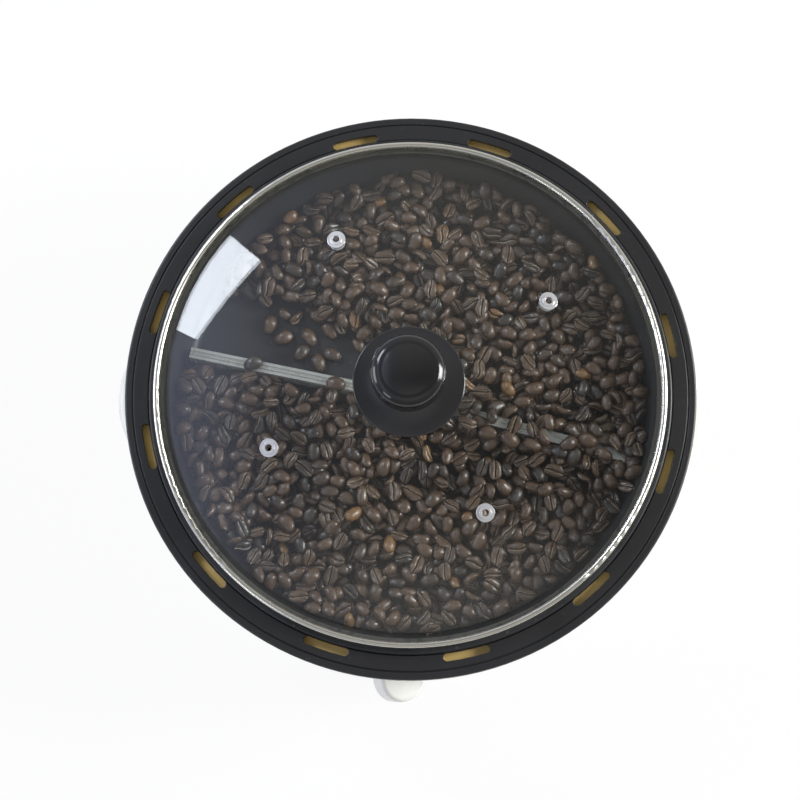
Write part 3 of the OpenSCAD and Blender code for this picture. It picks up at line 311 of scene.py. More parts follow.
def lid_steel(colours):
    """The lid's band: a bright polished bead, and a satin lip under the glass, coloured dark as painted
    shade.
    """
    made = Finish("polished_steel", {"Metallic": 1.0})
    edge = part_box("lid_band")[1].x
    bead = made.radius().ramp(edge - BEAD_START, edge - BEAD_FULL)
    rings = made.noise(0.25 * MM, 3, made.point(made.radius(), 0.0, 0.0))
    smears = made.noise(30 * MM, 3).ramp(0.45, 0.75)
    made.relief(rings, 0.001 * MM)
    steel = made.blend(smears * 0.25, colours.band_steel, darker(colours.band_steel, 0.9))
    # Painted shade: the lip under the glass takes the band steel at 0.3
    tint = made.blend(bead, darker(colours.band_steel, 0.3), steel)
    return made.finish(tint, bead.ramp(0.0, 1.0, 0.42, 0.24) + rings * 0.03 + smears * 0.04)


def drawn(name, colour, roughness, angle, lines, tint=0.7):
    """Drawn or rolled metal: fine lines along one direction, with stains and handling marks."""
    made = Finish(name, {"Metallic": 1.0}, 0.25 * MM)
    strokes = made.noise(1.0, 4, made.turned(angle, lines))
    stains = made.noise(7 * MM, 5).ramp(0.42, 0.75)
    made.relief(strokes, 0.012 * MM)
    base = made.blend(strokes.ramp(0.3, 0.7), darker(colour, 0.85), colour)
    shade = made.blend(stains * 0.6, base, darker(colour, tint))
    return made.finish(shade, roughness + strokes * 0.12 + stains * 0.15)


def stirring_bar(colours):
    """The stirrer's drawn bar: bright steel with two dark painted reflections that run along it."""
    made = Finish("stainless_bar", {"Metallic": 0.5}, 0.25 * MM)
    strokes = made.noise(1.0, 4, made.turned(ARM_ANGLE, (10, 500, 300)))
    stains = made.noise(7 * MM, 5).ramp(0.42, 0.75)
    _, across, _ = made.axes(made.turned(ARM_ANGLE, (1, 1, 1)))
    # Painted reflections: two dark lines along the bar, at the steel's colour times 0.35
    painted_reflection = abs(abs(across) - REFLECTION_LINE_OFFSET).ramp(0.15 * MM, 0.5 * MM, 1.0, 0.0)
    made.relief(strokes, 0.003 * MM)
    base = made.blend(strokes.ramp(0.3, 0.7), darker(colours.bar_steel, 0.85), colours.bar_steel)
    stained = made.blend(stains * 0.5, base, darker(colours.bar_steel, 0.88))
    reflection_painted = made.blend(painted_reflection * 0.75, stained, darker(colours.bar_steel, 0.35))
    return made.finish(reflection_painted, 0.2 + strokes * 0.12 + stains * 0.15)


def clear_glass(colours):
    """Toughened glass: clear, with a sheen that grows at a slant, faint wiping smears and dust."""
    made = Finish("clear_glass", {"Base Color": (0.9, 0.93, 0.95, 1.0), "IOR": 1.5})
    facing = Value(made, made.node("ShaderNodeLayerWeight", {}, {"Blend": 0.5}).outputs["Facing"])
    smears = made.noise(1.0, 4, made.turned(0.6, (24, 90, 40))).ramp(0.5, 0.8)
    dust = made.specks(2.2 * MM, 0.06)
    made.relief(made.noise(60 * MM, 1), 0.02 * MM)
    film = smears * 0.003 + dust * 0.03 + 0.001
    clear = made.node("ShaderNodeBsdfTransparent", {}, {"Color": (0.97, 0.98, 0.98)})
    gloss = made.node("ShaderNodeBsdfGlossy", {}, {
        "Color": (1.0, 1.0, 1.0), "Roughness": smears * 0.03 + 0.01, "Normal": made.normal})
    matt = made.node("ShaderNodeBsdfDiffuse", {}, {"Color": (0.8, 0.82, 0.85)})
    sheen = facing ** 5 * 0.95 + 0.042
    glazed = made.node("ShaderNodeMixShader", {}, {0: sheen, 1: clear.outputs[0], 2: gloss.outputs[0]})
    filmed = made.node("ShaderNodeMixShader", {}, {0: film, 1: glazed.outputs[0], 2: matt.outputs[0]})
    made.nodes.remove(made.shader)
    made.show(filmed.outputs[0])
    return made.material


def ring_enamel(colours):
    """Satin black enamel: a faint orange peel, fine dust and softened edges."""
    made = Finish("ring_enamel", {"IOR": 1.5, "Specular IOR Level": 0.5}, 0.7 * MM)
    peel = made.noise(2.4 * MM, 2)
    dust = made.specks(1.3 * MM, 0.03)
    cloud = made.noise(30 * MM, 4)
    made.relief(peel, 0.012 * MM)
    base = made.blend(cloud.ramp(0.3, 0.7), darker(colours.ring_black, 0.85), colours.ring_black)
    speckled = made.blend(dust * 0.2, base, screen(120, 120, 118))
    return made.finish(speckled, 0.33 + cloud * 0.08 + dust * 0.2)


def black_phenolic(colours):
    """Glossy black phenolic of the knob, with fine wiping marks."""
    made = Finish("black_phenolic", {"IOR": 1.55}, 0.4 * MM)
    wiped = made.noise(1.0, 3, made.turned(0.4, (60, 400, 60)))
    made.relief(wiped, 0.004 * MM)
    cloud = made.noise(20 * MM, 3)
    base = made.blend(cloud.ramp(0.3, 0.7), darker(colours.knob_black, 0.9), colours.knob_black)
    return made.finish(base, 0.1 + wiped * 0.05)


def satin_phenolic(colours):
    """Satin black phenolic of the saucer under the knob."""
    made = Finish("satin_phenolic", {"IOR": 1.5, "Specular IOR Level": 0.4}, 0.3 * MM)
    cloud = made.noise(20 * MM, 3)
    base = made.blend(cloud.ramp(0.3, 0.7), darker(colours.knob_black, 2.1), darker(colours.knob_black, 2.3))
    return made.finish(base, 0.1 + cloud * 0.05)


def pan_coating(colours):
    """Dark non-stick coating: fine pale speckle, rings from the stirring bar, and patches of oil."""
    made = Finish("pan_coating", {"IOR": 1.45}, 0.6 * MM)
    speckle = made.specks(0.9 * MM, 0.3)
    coarse = made.specks(2.8 * MM, 0.12)
    rings = made.noise(1.2 * MM, 4, made.point(made.radius(), 0.0, 0.0)).ramp(0.58, 0.7)
    broken = made.noise(16 * MM, 3).ramp(0.45, 0.6)
    oil = made.noise(24 * MM, 5).ramp(0.4, 0.7)
    made.relief(made.noise(0.7 * MM, 3), 0.03 * MM)
    base = made.blend(oil, colours.pan_grey, darker(colours.pan_grey, 0.75))
    flecked = made.blend(speckle * 0.16 + coarse * 0.14, base, screen(140, 140, 142))
    scraped = made.blend(rings * broken * 0.1, flecked, screen(160, 158, 150))
    return made.finish(scraped, 0.46 - oil * 0.12 + rings * 0.05)


def gold_chromate(colours):
    """Yellow chromate on rolled steel: clouds that run to green and rose, and rolling lines."""
    made = Finish("gold_chromate", {"Metallic": 0.1}, 0.3 * MM)
    clouds = made.noise(22 * MM, 4)
    lines = made.noise(1.0, 3, made.turned(0.5, (20, 500, 20)))
    made.relief(lines, 0.01 * MM)
    green = made.blend(clouds.ramp(0.35, 0.6), screen(246, 212, 130), colours.shield_gold)
    rose = made.blend(clouds.ramp(0.58, 0.75) * 0.6, green, screen(248, 200, 138))
    return made.finish(rose, 0.3 + lines * 0.12 + clouds * 0.08)


def element_steel(colours):
    """Heat-darkened steel sheath: straw to blue temper tints over grey oxide."""
    made = Finish("element_steel", {"Metallic": 0.9}, 0.2 * MM)
    temper = made.noise(18 * MM, 4)
    scale = made.noise(1.6 * MM, 4)
    made.relief(scale, 0.03 * MM)
    straw = made.blend(temper.ramp(0.35, 0.5), screen(150, 132, 104), screen(112, 104, 100))
    blue = made.blend(temper.ramp(0.55, 0.75), straw, screen(86, 92, 112))
    return made.finish(blue, 0.42 + scale * 0.2)


def scale_plate(colours):
    """Brushed aluminium plate behind the dial, with round brushing about the dial's own axis."""
    made = Finish("scale_plate", {"Metallic": 1.0})
    low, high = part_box("dial_plate")
    middle = (low + high) / 2
    x, _, z = made.axes()
    across, up = x - middle.x, z - middle.z
    brushed = made.noise(0.18 * MM, 3, made.point((across * across + up * up) ** 0.5, 0.0, 0.0))
    smear = made.noise(8 * MM, 4)
    made.relief(brushed, 0.006 * MM)
    tint = made.blend(smear.ramp(0.4, 0.7) * 0.5, screen(214, 216, 218), screen(184, 186, 188))
    return made.finish(tint, 0.26 + brushed * 0.16)


def amber_lens(colours):
    """Amber lens of the lamp: clear acrylic with a ribbed inside that shows through."""
    made = Finish("amber_lens", {"IOR": 1.49, "Transmission Weight": 0.35, "Coat Weight": 0.4})
    low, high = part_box("indicator_lens")
    middle = (low + high) / 2
    x, _, z = made.axes()
    ribs = made.node("ShaderNodeTexWave", {"bands_direction": "X"},
                     {"Vector": made.point(x - middle.x, 0.0, z), "Scale": 260.0})
    rib = Value(made, ribs.outputs["Fac"])
    cloud = made.noise(3 * MM, 3)
    made.relief(rib, 0.05 * MM)
    tint = made.blend(rib * 0.5 + cloud * 0.2, screen(226, 108, 24), screen(178, 62, 16))
    return made.finish(tint, 0.12 + cloud * 0.1)


def roasted_bean(colours):
    """Roasted coffee: each bean has its own brown, fine wrinkles with painted shade in their hollows, an oily
    sheen, pale chaff beside the crease and painted shade down it.
    """
    made = Finish("roasted_bean", {"IOR": 1.5, "Coat Weight": 0.8, "Coat Roughness": 0.22})
    along, stray, up = made.axes(made.node(
        "ShaderNodeAttribute", {"attribute_name": "bean_place"}).outputs["Vector"])
    roast = Value(made, made.node("ShaderNodeAttribute", {"attribute_name": "roast"}).outputs["Fac"])
    own = made.point(along * 3.0 + roast * 40, stray * 6, up * 6)
    wrinkle = made.noise(1.0, 4, own, 0.6)
    patch = made.noise(2.5, 2, own)
    flat = up.ramp(-0.35, -0.1, 1.0, 0.0)
    crease = abs(stray).ramp(0.03, 0.1, 1.0, 0.0) * flat
    lips = abs(abs(stray) - 0.17).ramp(0.0, 0.1, 1.0, 0.0) * flat
    made.relief(wrinkle, 0.4 * MM)
    common = made.blend(roast.ramp(0.0, 0.5), colours.bean_dark, colours.bean_brown)
    sorted_out = made.blend(roast.ramp(0.972, 0.99), common, colours.bean_light)
    wrinkled = wrinkle.ramp(0.35, 0.7)
    # Painted shade: the bean's colour at 0.6 in the wrinkles' hollows, where the relief is low
    shaded = made.blend(1.0, sorted_out, (0.6, 0.6, 0.6), "MULTIPLY")
    wrinkle_shaded = made.blend(wrinkled, shaded, sorted_out)
    edged = made.blend(lips * 0.6 * patch.ramp(0.35, 0.6), wrinkle_shaded, colours.chaff)
    # Painted shade down the crease: the darkest bean colour at 0.3
    split = made.blend(crease * 0.9, edged, darker(colours.bean_dark, 0.3))
    return made.finish(split, 0.36 - patch * 0.12 + wrinkle * 0.1)


OWN_FINISHES = (clear_glass, ring_enamel, black_phenolic, satin_phenolic, pan_coating, gold_chromate,
                element_steel, scale_plate, amber_lens, roasted_bean)
FINISHES = {
    **{finish.__name__: finish for finish in OWN_FINISHES},
    "polished_steel": lid_steel,
    "chrome_trim": lambda c: polished("chrome_trim", screen(246, 246, 248), 0.12, 0.05, metallic=0.7),
    "screw_steel": lambda c: drawn("screw_steel", screen(198, 198, 200), 0.25, 0.5, (90, 90, 400)),
    "gland_brass": lambda c: polished("gland_brass", screen(214, 176, 104), 0.2),
    "stainless_bar": stirring_bar,
    "zinc_sheet": lambda c: drawn("zinc_sheet", screen(188, 192, 198), 0.36, 0.3, (40, 160, 40)),
    "copper_tube": lambda c: drawn("copper_tube", screen(206, 132, 96), 0.3, 0.0, (60, 60, 60), tint=0.5),
    "magnet_dark": lambda c: drawn("magnet_dark", screen(92, 94, 98), 0.4, 0.0, (60, 60, 400)),
    "white_body": lambda c: moulded("white_body", c.shell_white, 0.16, 0.008 * MM, 0.8 * MM, 0.94),
    "white_knob": lambda c: moulded("white_knob", c.shell_white, 0.14, 0.008 * MM, 0.5 * MM, 0.95),
    "white_ceramic": lambda c: moulded("white_ceramic", screen(228, 222, 206), 0.6, 0.05 * MM, 0.3 * MM),
    "silicone_seal": lambda c: moulded("silicone_seal", screen(216, 212, 202), 0.55, 0.02 * MM, 0.3 * MM),
    "base_paint": lambda c: moulded("base_paint", screen(182, 184, 186), 0.42, 0.05 * MM, 0.3 * MM, 0.8),
    "black_rubber": lambda c: moulded("black_rubber", screen(38, 38, 38), 0.72, 0.06 * MM, 0.6 * MM, 1.8),
    "gear_plastic": lambda c: moulded("gear_plastic", screen(226, 220, 198), 0.38, 0.02 * MM, 0.2 * MM),
    "black_plastic": lambda c: moulded("black_plastic", screen(28, 28, 29), 0.34, 0.04 * MM, 0.4 * MM, 1.6),
    "wire_silicone": lambda c: moulded("wire_silicone", screen(176, 40, 34), 0.5, 0.03 * MM, 0.2 * MM),
}
made_finishes = {}


def finish_for(name):
    """The finish of this name, made the first time that it is asked for."""
    if name not in made_finishes:
        made_finishes[name] = FINISHES[name](bpy.context.scene.roaster_colours)
    return made_finishes[name]


def dress(*names):
    """Gives CAD nodes their finish, by the material slot that the record names for each."""
    for name in names:
        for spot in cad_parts[name].material_slots:
            spot.material = finish_for(spot.material.name.split(".")[0])


def new_piece(name, points, faces, body, finish):
    """A smooth mesh piece that rides on a body and takes a finish."""
    mesh = bpy.data.meshes.new(name)
    mesh.from_pydata(points, [], faces)
    mesh.materials.append(finish_for(finish))
    mesh.shade_smooth()
    piece = bpy.data.objects.new(name, mesh)
    bpy.context.scene.collection.objects.link(piece)
    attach(piece, body)
    return piece


# ---------- the beans ----------

class Bed:
    """A height map of the pan's inside, on which beans come to rest one by one."""

    pitch = 1 * MM

    def __init__(self, reach):
        steps = int(reach / self.pitch)
        self.axis = np.arange(-steps, steps + 1) * self.pitch
        self.x, self.y = np.meshgrid(self.axis, self.axis)
        self.height = np.full(self.x.shape, CLOSED)
        self.owner = np.full(self.x.shape, -1)
        self.placed = []

    def from_arm(self, angle):
        """How far each cell lies along an arm that points this way, and how far behind its middle."""
        cos, sin = math.cos(angle), math.sin(angle)
        return cos * self.x + sin * self.y, sin * self.x - cos * self.y

    def take_round(self, node, start_z):
        """Takes the height of a piece that is the same all round, from rays down along one radius."""
        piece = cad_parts[node]
        down = Vector((0, 0, -1))
        radii = self.axis[self.axis >= 0]
        heights = []
        for r in radii:
            found, at, _, _ = piece.ray_cast(Vector((r * 0.8, -r * 0.6, start_z)), down)
            heights.append(at.z if found else start_z)
        self.height = np.interp(np.hypot(self.x, self.y), radii, heights)

    def take(self, node, start_z):
        """Raises the map to the top of a piece, from rays down on each cell under its box."""
        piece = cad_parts[node]
        low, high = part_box(node)
        down = Vector((0, 0, -1))
        inside = (self.x >= low.x) & (self.x <= high.x) & (self.y >= low.y) & (self.y <= high.y)
        for row, column in np.argwhere(inside):
            start = Vector((self.x[row, column], self.y[row, column], start_z))
            found, at, _, _ = piece.ray_cast(start, down)
            if found:
                self.height[row, column] = max(self.height[row, column], at.z)

    def keep_off(self, node, gap):
        """Raises the map round a fixed piece that the beans turn about, as far out as its corners reach."""
        low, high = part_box(node)
        near = np.hypot(self.x, self.y) <= max(high.x, high.y) + gap
        self.height[near] = np.maximum(self.height[near], high.z)

    def rest(self, rows, columns, turns, halves):
        """Where trial beans come to rest at these cells: their middles' heights, and what they cover."""
        reach = int(math.ceil(halves.max() * 1.1 / self.pitch))
        steps = np.arange(-reach, reach + 1)
        dx, dy = np.meshgrid(steps * self.pitch, steps * self.pitch)
        q = np.einsum("kij,kj,klj->kil", turns, halves ** -2.0, turns)[:, :, :, None, None]
        a = q[:, 2, 2]
        b = q[:, 0, 2] * dx + q[:, 1, 2] * dy
        c = q[:, 0, 0] * dx * dx + 2 * q[:, 0, 1] * dx * dy + q[:, 1, 1] * dy * dy - 1
        room = b * b - a * c
        inside = room > 0
        root = np.sqrt(np.where(inside, room, 0))
        under, over = (-b - root) / a, (-b + root) / a
        cells = (rows[:, None, None] + steps[None, :, None], columns[:, None, None] + steps[None, None, :])
        ground = self.height[cells]
        middle = np.where(inside, ground - under, -1.0).max(axis=(1, 2))
        top = middle[:, None, None] + np.where(inside, over, -1.0)
        return middle, top, cells

    def drop(self, rows, columns, turns, sizes, half, sink, limit=None):
        """Lets the lowest of some trial beans lie where it rests. Past the limit, none lies down."""
        scales = np.array([size for size, _, _ in sizes])
        middle, top, cells = self.rest(rows, columns, turns, half * scales[:, None])
        peak = top.max(axis=(1, 2))
        best = int(np.argmin(peak if limit is None else peak - limit))
        if limit is not None and peak[best] > limit[best]:
            return False
        spot = (cells[0][best], cells[1][best])
        covered = top[best] - sink > self.height[spot]
        self.height[spot] = np.where(covered, top[best] - sink, self.height[spot])
        self.owner[spot] = np.where(covered, len(self.placed), self.owner[spot])
        place = Vector((self.axis[columns[best]], self.axis[rows[best]], middle[best] - sink))
        self.placed.append((place, turns[best], sizes[best]))
        return True


def turn_matrices(yaw, pitch, roll):
    """Rotation matrices: rolled about the bean's length, pitched, then turned about the vertical."""
    def about(axis, angle):
        cos, sin = np.cos(angle), np.sin(angle)
        one, zero = np.ones_like(cos), np.zeros_like(cos)
        rows = {
            "x": [[one, zero, zero], [zero, cos, -sin], [zero, sin, cos]],
            "y": [[cos, zero, sin], [zero, one, zero], [-sin, zero, cos]],
            "z": [[cos, -sin, zero], [sin, cos, zero], [zero, zero, one]],
        }[axis]
        return np.moveaxis(np.array(rows), 2, 0)
    return about("z", yaw) @ about("y", pitch) @ about("x", roll)


def bean_form(half, rings, around, kind):
    """Points and faces of one bean, longest along X, and for its finish how far along it and from its
    crease each point lies. It has a round back and a flat face with a bent crease, and each kind has its
    own dents."""
    crease_w, crease_depth, flat_share = 0.1, 0.34, 0.5
    bend = 1.0 if kind % 2 else -1.0
    plump = 0.9 + 0.09 * (kind % 3)
    points = [(-half[0], 0.0, 0.0)]
    places = [(-1.0, 0.0, 0.0)]
    for slant in np.pi * np.arange(1, rings) / rings:
        along = -math.cos(slant)
        strayed = (along * 0.22 - along * along * along * 0.26) * bend
        girth = math.sin(slant) ** 0.86
        sway = 0.1 * half[1] * math.sin(2.4 * along + 1.3 * kind)
        lift = 0.16 * half[2] * math.cos(3.1 * along + 2.1 * kind)
        for turn in around:
            across = math.cos(turn) * girth
            up = math.sin(turn)
            stray = across - strayed
            if up >= 0:
                z = half[2] * 1.3 * plump * up ** 0.9 * girth
            else:
                z = -half[2] * flat_share * abs(up) ** 0.45 * girth
                z += half[2] * crease_depth * 2 * math.exp(-(stray / crease_w) ** 2) * min(1.0, girth * 1.4)
            dent = 1 + 0.06 * math.sin(2 * turn + 2.3 * kind + 2 * along)
            dent += 0.04 * math.sin(6 * along + 1.9 * kind)
            points.append((along * half[0], across * half[1] * dent + sway, z * dent + lift))
            places.append((along, stray, up * girth))
    points.append((half[0], 0.0, 0.0))
    places.append((1.0, 0.0, 0.0))
    count = len(around)
    faces = []
    for i in range(count):
        after = (i + 1) % count
        faces.append((0, 1 + after, 1 + i))
        last = 1 + (rings - 2) * count
        faces.append((len(points) - 1, last + i, last + after))
        for ring in range(rings - 2):
            start = 1 + ring * count
            faces.append((start + i, start + after, start + count + after, start + count + i))
    return np.array(points), faces, np.array(places)


def pile(name, forms, placed):
    """One mesh piece of many beans, with each bean's own roast and the place on it kept for the finish."""
    points, faces, places, roasts = [], [], [], []
    total = 0
    for at, turn, (size, kind, roast) in placed:
        form, form_faces, form_places = forms[kind]
        points.append((form * size) @ turn.T + np.array(at))
        faces.extend([tuple(total + corner for corner in face) for face in form_faces])
        places.append(form_places)
        roasts.append(np.full(len(form), roast))
        total += len(form)
    piece = new_piece(name, np.concatenate(points), faces, "stirrer", "roasted_bean")
    place_data = piece.data.attributes.new("bean_place", "FLOAT_VECTOR", "POINT")
    place_data.data.foreach_set("vector", np.concatenate(places).astype(np.float32).ravel())
    roast_data = piece.data.attributes.new("roast", "FLOAT", "POINT")
    roast_data.data.foreach_set("value", np.concatenate(roasts).astype(np.float32))


# A height in metres for cells of the map that no bean may lie on
CLOSED = 1.0
# No bean is dropped this near to the shaft, and the map is closed this near to its edge
HUB_CLEAR, RIM_CLOSED = 15 * MM, 5 * MM
# How far the arms' top lies under the foot of the cap nut
ARM_UNDER_NUT = 2.1 * MM
# The room that the beans keep from fixed pieces that they turn about
TURNING_GAP = 1.2 * MM
# The bed's gentle waves: their height, and their scale along X and Y
WAVE_RISE, WAVE_X, WAVE_Y = 0.9 * MM, 17 * MM, 21 * MM
# The bed slopes down in this direction, by this drop at this distance
SLIDE_ANGLE = math.radians(128)
SLIDE_DROP, SLIDE_REACH = 7 * MM, 124 * MM
# Where the bed begins to rise to the pan's wall, and over what width
WALL_START, WALL_WIDTH = 108 * MM, 14 * MM
# The deeper beans over the covered arm get thinner over this width
COVER_FADE = 12 * MM
# From the bare arm's middle backwards: where the bare strip begins, and where the low beans before it
# do, and how far those reach above the arm's top
STRIP_EDGE, LOW_EDGE = -4 * MM, -9 * MM
LOW_RISE = 1.5 * MM
# Half the width of the stretches in BARE_STRETCHES
BARE_HALF = 0.6 * MM
# Stretches along the covered arm where it shows between the beans
BARE_STRETCHES = ((49 * MM, 51 * MM), (76 * MM, 80 * MM), (111 * MM, 112.5 * MM))
# Beans that lie by themselves: distance along the bare arm, distance behind it, and heading
LONE_BEANS = (
    (86 * MM, 0.5 * MM, 0.3), (40 * MM, -1.5 * MM, 2.8),
    (84 * MM, 26 * MM, 1.1), (62 * MM, 24 * MM, 2.0), (64 * MM, 14.5 * MM, 0.6), (53 * MM, 10.5 * MM, 1.7),
    (47 * MM, 17 * MM, 2.6), (75 * MM, 21 * MM, 0.2),
)
# Forms of bean for each side up, trial beans to a drop, and failed drops before the bed is full
FORMS = 4
TRIALS = 14
TRIES_LEFT = 220
# Shares of the beans that lie on edge and crease up, how far they tilt, and how they differ in size
EDGE_SHARE, CREASED_SHARE = 0.25, 0.4
TILT, EDGE_TILT = 0.42, 1.2
SIZE_RANGE = (0.84, 1.07)
# The share of a bean's thickness that has to be free under the target before another is dropped
FREE_SHARE = 0.55
# How far a bean may stand above the target, and how deep beans sink into what is under them
STAND_OUT = 1.5 * MM
BED_SINK, LONE_SINK = 0.35 * MM, 0.2 * MM
# Map cells on which a bean has to lie on top to count as one that shows
SEEN_CELLS = 7


def bed_target(bed, beans):
    """The height that the beans reach over each cell: bare behind one arm, and deeper over the other."""
    floor_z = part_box("roasting_pan")[0].z
    arm_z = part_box("cap_nut")[0].z - ARM_UNDER_NUT
    level = arm_z + beans.bed_rise + np.zeros_like(bed.x)
    r = np.hypot(bed.x, bed.y)
    level += WAVE_RISE * np.sin(bed.x / WAVE_X + 1.0) * np.cos(bed.y / WAVE_Y)
    back = (bed.x * math.cos(SLIDE_ANGLE) + bed.y * math.sin(SLIDE_ANGLE)) / SLIDE_REACH
    level -= SLIDE_DROP * np.clip(back, 0, 1) ** 3
    level += beans.wall_rise * np.clip((r - WALL_START) / WALL_WIDTH, 0, 1)
    outwards, across = bed.from_arm(COVERED_ANGLE)
    level += np.where(outwards > 0, beans.cover * np.clip(1.6 - np.abs(across) / COVER_FADE, 0, 1), 0)
    along, behind = bed.from_arm(ARM_ANGLE)
    bare = beans.swept_inner + beans.swept_spread * along
    slope = floor_z + np.clip(behind - bare, 0, None) * math.tan(beans.repose)
    swept = (along > 0) & (behind > STRIP_EDGE)
    level = np.where(swept, np.minimum(level, slope), level)
    edge = (along > 0) & (behind <= STRIP_EDGE) & (behind > LOW_EDGE)
    level = np.where(edge, np.minimum(level, arm_z + LOW_RISE), level)
    return np.where(r < HUB_CLEAR, 0.0, level)


def fill_pan(beans):
    """Drops the beans into the pan: the bed first, then the few that lie by themselves."""
    chance = np.random.default_rng(beans.seed)
    half = np.array([beans.length, beans.width, beans.height]) / 2
    rim_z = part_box("roasting_pan")[1].z
    bed = Bed(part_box("roasting_pan")[1].x)
    bed.take_round("roasting_pan", rim_z)
    for node in ("pan_bush", "bush_nut"):
        bed.keep_off(node, TURNING_GAP)
    for node in ("stir_bar", "cap_nut"):
        bed.take(node, rim_z)
    margin = int(half[0] * 1.2 / bed.pitch) + 2
    bed.height[np.hypot(bed.x, bed.y) > bed.axis[-1] - RIM_CLOSED] = CLOSED
    outwards, across = bed.from_arm(COVERED_ANGLE)
    for start, end in BARE_STRETCHES:
        bed.height[(outwards > start) & (outwards < end) & (np.abs(across) < BARE_HALF)] = CLOSED
    target = bed_target(bed, beans)
    target[:margin] = target[-margin:] = 0.0
    target[:, :margin] = target[:, -margin:] = 0.0

    def trial(count):
        """Turns and sizes of some trial beans: a few on edge, and some with their crease up."""
        on_edge = chance.random(count) < EDGE_SHARE
        yaw = chance.uniform(0, 2 * np.pi, count)
        pitch = chance.normal(0, TILT, count)
        roll = chance.normal(0, TILT, count) + np.where(on_edge, EDGE_TILT, 0.0)
        creased = chance.random(count) < CREASED_SHARE
        sizes = [(chance.uniform(*SIZE_RANGE), int(up) * FORMS + int(chance.integers(FORMS)), chance.random())
                 for up in creased]
        return turn_matrices(yaw, pitch, roll + np.where(creased, np.pi, 0.0)), sizes

    misses = 0
    while misses < TRIES_LEFT:
        cells = np.argwhere(target - bed.height > beans.height * FREE_SHARE)
        if not len(cells):
            break
        rows, columns = cells[chance.integers(0, len(cells), TRIALS)].T
        turns, sizes = trial(TRIALS)
        if not bed.drop(rows, columns, turns, sizes, half, BED_SINK, target[rows, columns] + STAND_OUT):
            misses += 1
    for along, behind, heading in LONE_BEANS:
        x = math.cos(ARM_ANGLE) * along + math.sin(ARM_ANGLE) * behind
        y = math.sin(ARM_ANGLE) * along - math.cos(ARM_ANGLE) * behind
        row, column = np.argmin(abs(bed.axis - y)), np.argmin(abs(bed.axis - x))
        turns = turn_matrices(np.array([heading]), np.zeros(1), np.zeros(1))
        bed.drop(np.array([row]), np.array([column]), turns, [(1.02, 0, chance.random())], half, LONE_SINK)
    return bed, half


class ROASTER_OT_beans(Operator):
    """Fills the pan with roasted beans that lie round the stirring bar"""

    bl_idname = "roaster.beans"
    bl_label = "Fill with beans"

    def execute(self, context):
        beans = context.scene.roaster_beans
        bed, half = fill_pan(beans)
        seen = np.bincount(bed.owner[bed.owner >= 0], minlength=len(bed.placed)) >= SEEN_CELLS
        plain = np.linspace(0, 2 * np.pi, 11)[:-1]
        crease = np.array([-0.27, -0.18, -0.09, 0.0, 0.09, 0.18, 0.27]) - np.pi / 2
        creased = np.concatenate([np.linspace(-1.0, np.pi + 1.0, 9), crease])
        fine = [bean_form(half, 10, plain, kind) for kind in range(FORMS)]
        fine += [bean_form(half, 12, np.sort(creased), kind) for kind in range(FORMS)]
        coarse = [bean_form(half, 7, plain, kind % FORMS) for kind in range(2 * FORMS)]
        upper = [bean for bean, shows in zip(bed.placed, seen) if shows]
        lower = [bean for bean, shows in zip(bed.placed, seen) if not shows]
        pile("upper_beans", fine, upper)
        pile("lower_beans", coarse, lower)
        return {"FINISHED"}


# ---------- the roaster's own pieces ----------

class ROASTER_OT_lid(Operator):
    """Finishes the glass lid, its steel band, the steam vents and the knob"""

    bl_idname = "roaster.lid"
    bl_label = "Finish the lid"

    def execute(self, context):
        dress("lid_glass", "lid_band", "vent_eyelets", "lid_knob", "knob_screw", "knob_washers")
        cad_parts["knob_saucer"].material_slots[0].material = finish_for("satin_phenolic")
        return {"FINISHED"}


class ROASTER_OT_pan(Operator):
    """Finishes the top ring, the pan and the stirring bar with its shaft"""

    bl_idname = "roaster.pan"
    bl_label = "Finish the pan and stirrer"

    def execute(self, context):
        dress("top_ring", "ring_screws", "roasting_pan", "pan_bush", "bush_nut")
        dress("stir_bar", "cap_nut", "stir_shaft", "shaft_clip")
        return {"FINISHED"}


class ROASTER_OT_heating(Operator):
    """Finishes the heating element, its clips, the cut-out, the sensor and the heat shield"""

    bl_idname = "roaster.heating"
    bl_label = "Finish the heating parts"

    def execute(self, context):
        dress("heating_element", "element_clips", "thermal_cutout", "heat_shield", "sensor_tube")
        return {"FINISHED"}


class ROASTER_OT_body(Operator):
    """Finishes the white body, the grips, the base plate and the feet"""

    bl_idname = "roaster.body"
    bl_label = "Finish the body"

    def execute(self, context):
        dress("body_shell", "left_grip", "right_grip", "grip_screws")
        dress("base_plate", "base_screws", "rubber_feet", "foot_screws")
        return {"FINISHED"}


class ROASTER_OT_drive(Operator):
    """Finishes the gear train and the motor"""

    bl_idname = "roaster.drive"
    bl_label = "Finish the drive"

    def execute(self, context):
        dress("gearbox_lower_plate", "gearbox_upper_plate", "gearbox_pillars", "shaft_bushes", "idler_axle")
        dress("output_gear", "idler_gear", "motor_pinion", "motor_rotor")
        dress("motor_can", "motor_stator", "motor_coil")
        return {"FINISHED"}


class ROASTER_OT_controls(Operator):
    """Finishes the control panel, the dial, the lamp and the switch"""

    bl_idname = "roaster.controls"
    bl_label = "Finish the controls"

    def execute(self, context):
        dress("control_panel", "dial_plate", "temperature_dial", "dial_spindle", "thermostat")
        dress("thermostat_nut", "indicator_lens", "switch_frame", "switch_rocker")
        return {"FINISHED"}


class ROASTER_OT_inlet(Operator):
    """Finishes the power inlet, its housing and the wiring"""

    bl_idname = "roaster.inlet"
    bl_label = "Finish the inlet and wiring"

    def execute(self, context):
        dress("inlet_housing", "power_inlet", "inlet_pins", "inlet_screws", "terminal_block", "wiring")
        return {"FINISHED"}


# ---------- the studio ----------

LAMP_AIM = Vector((0, 0, 120 * MM))
FLOOR_HALF = 4.0


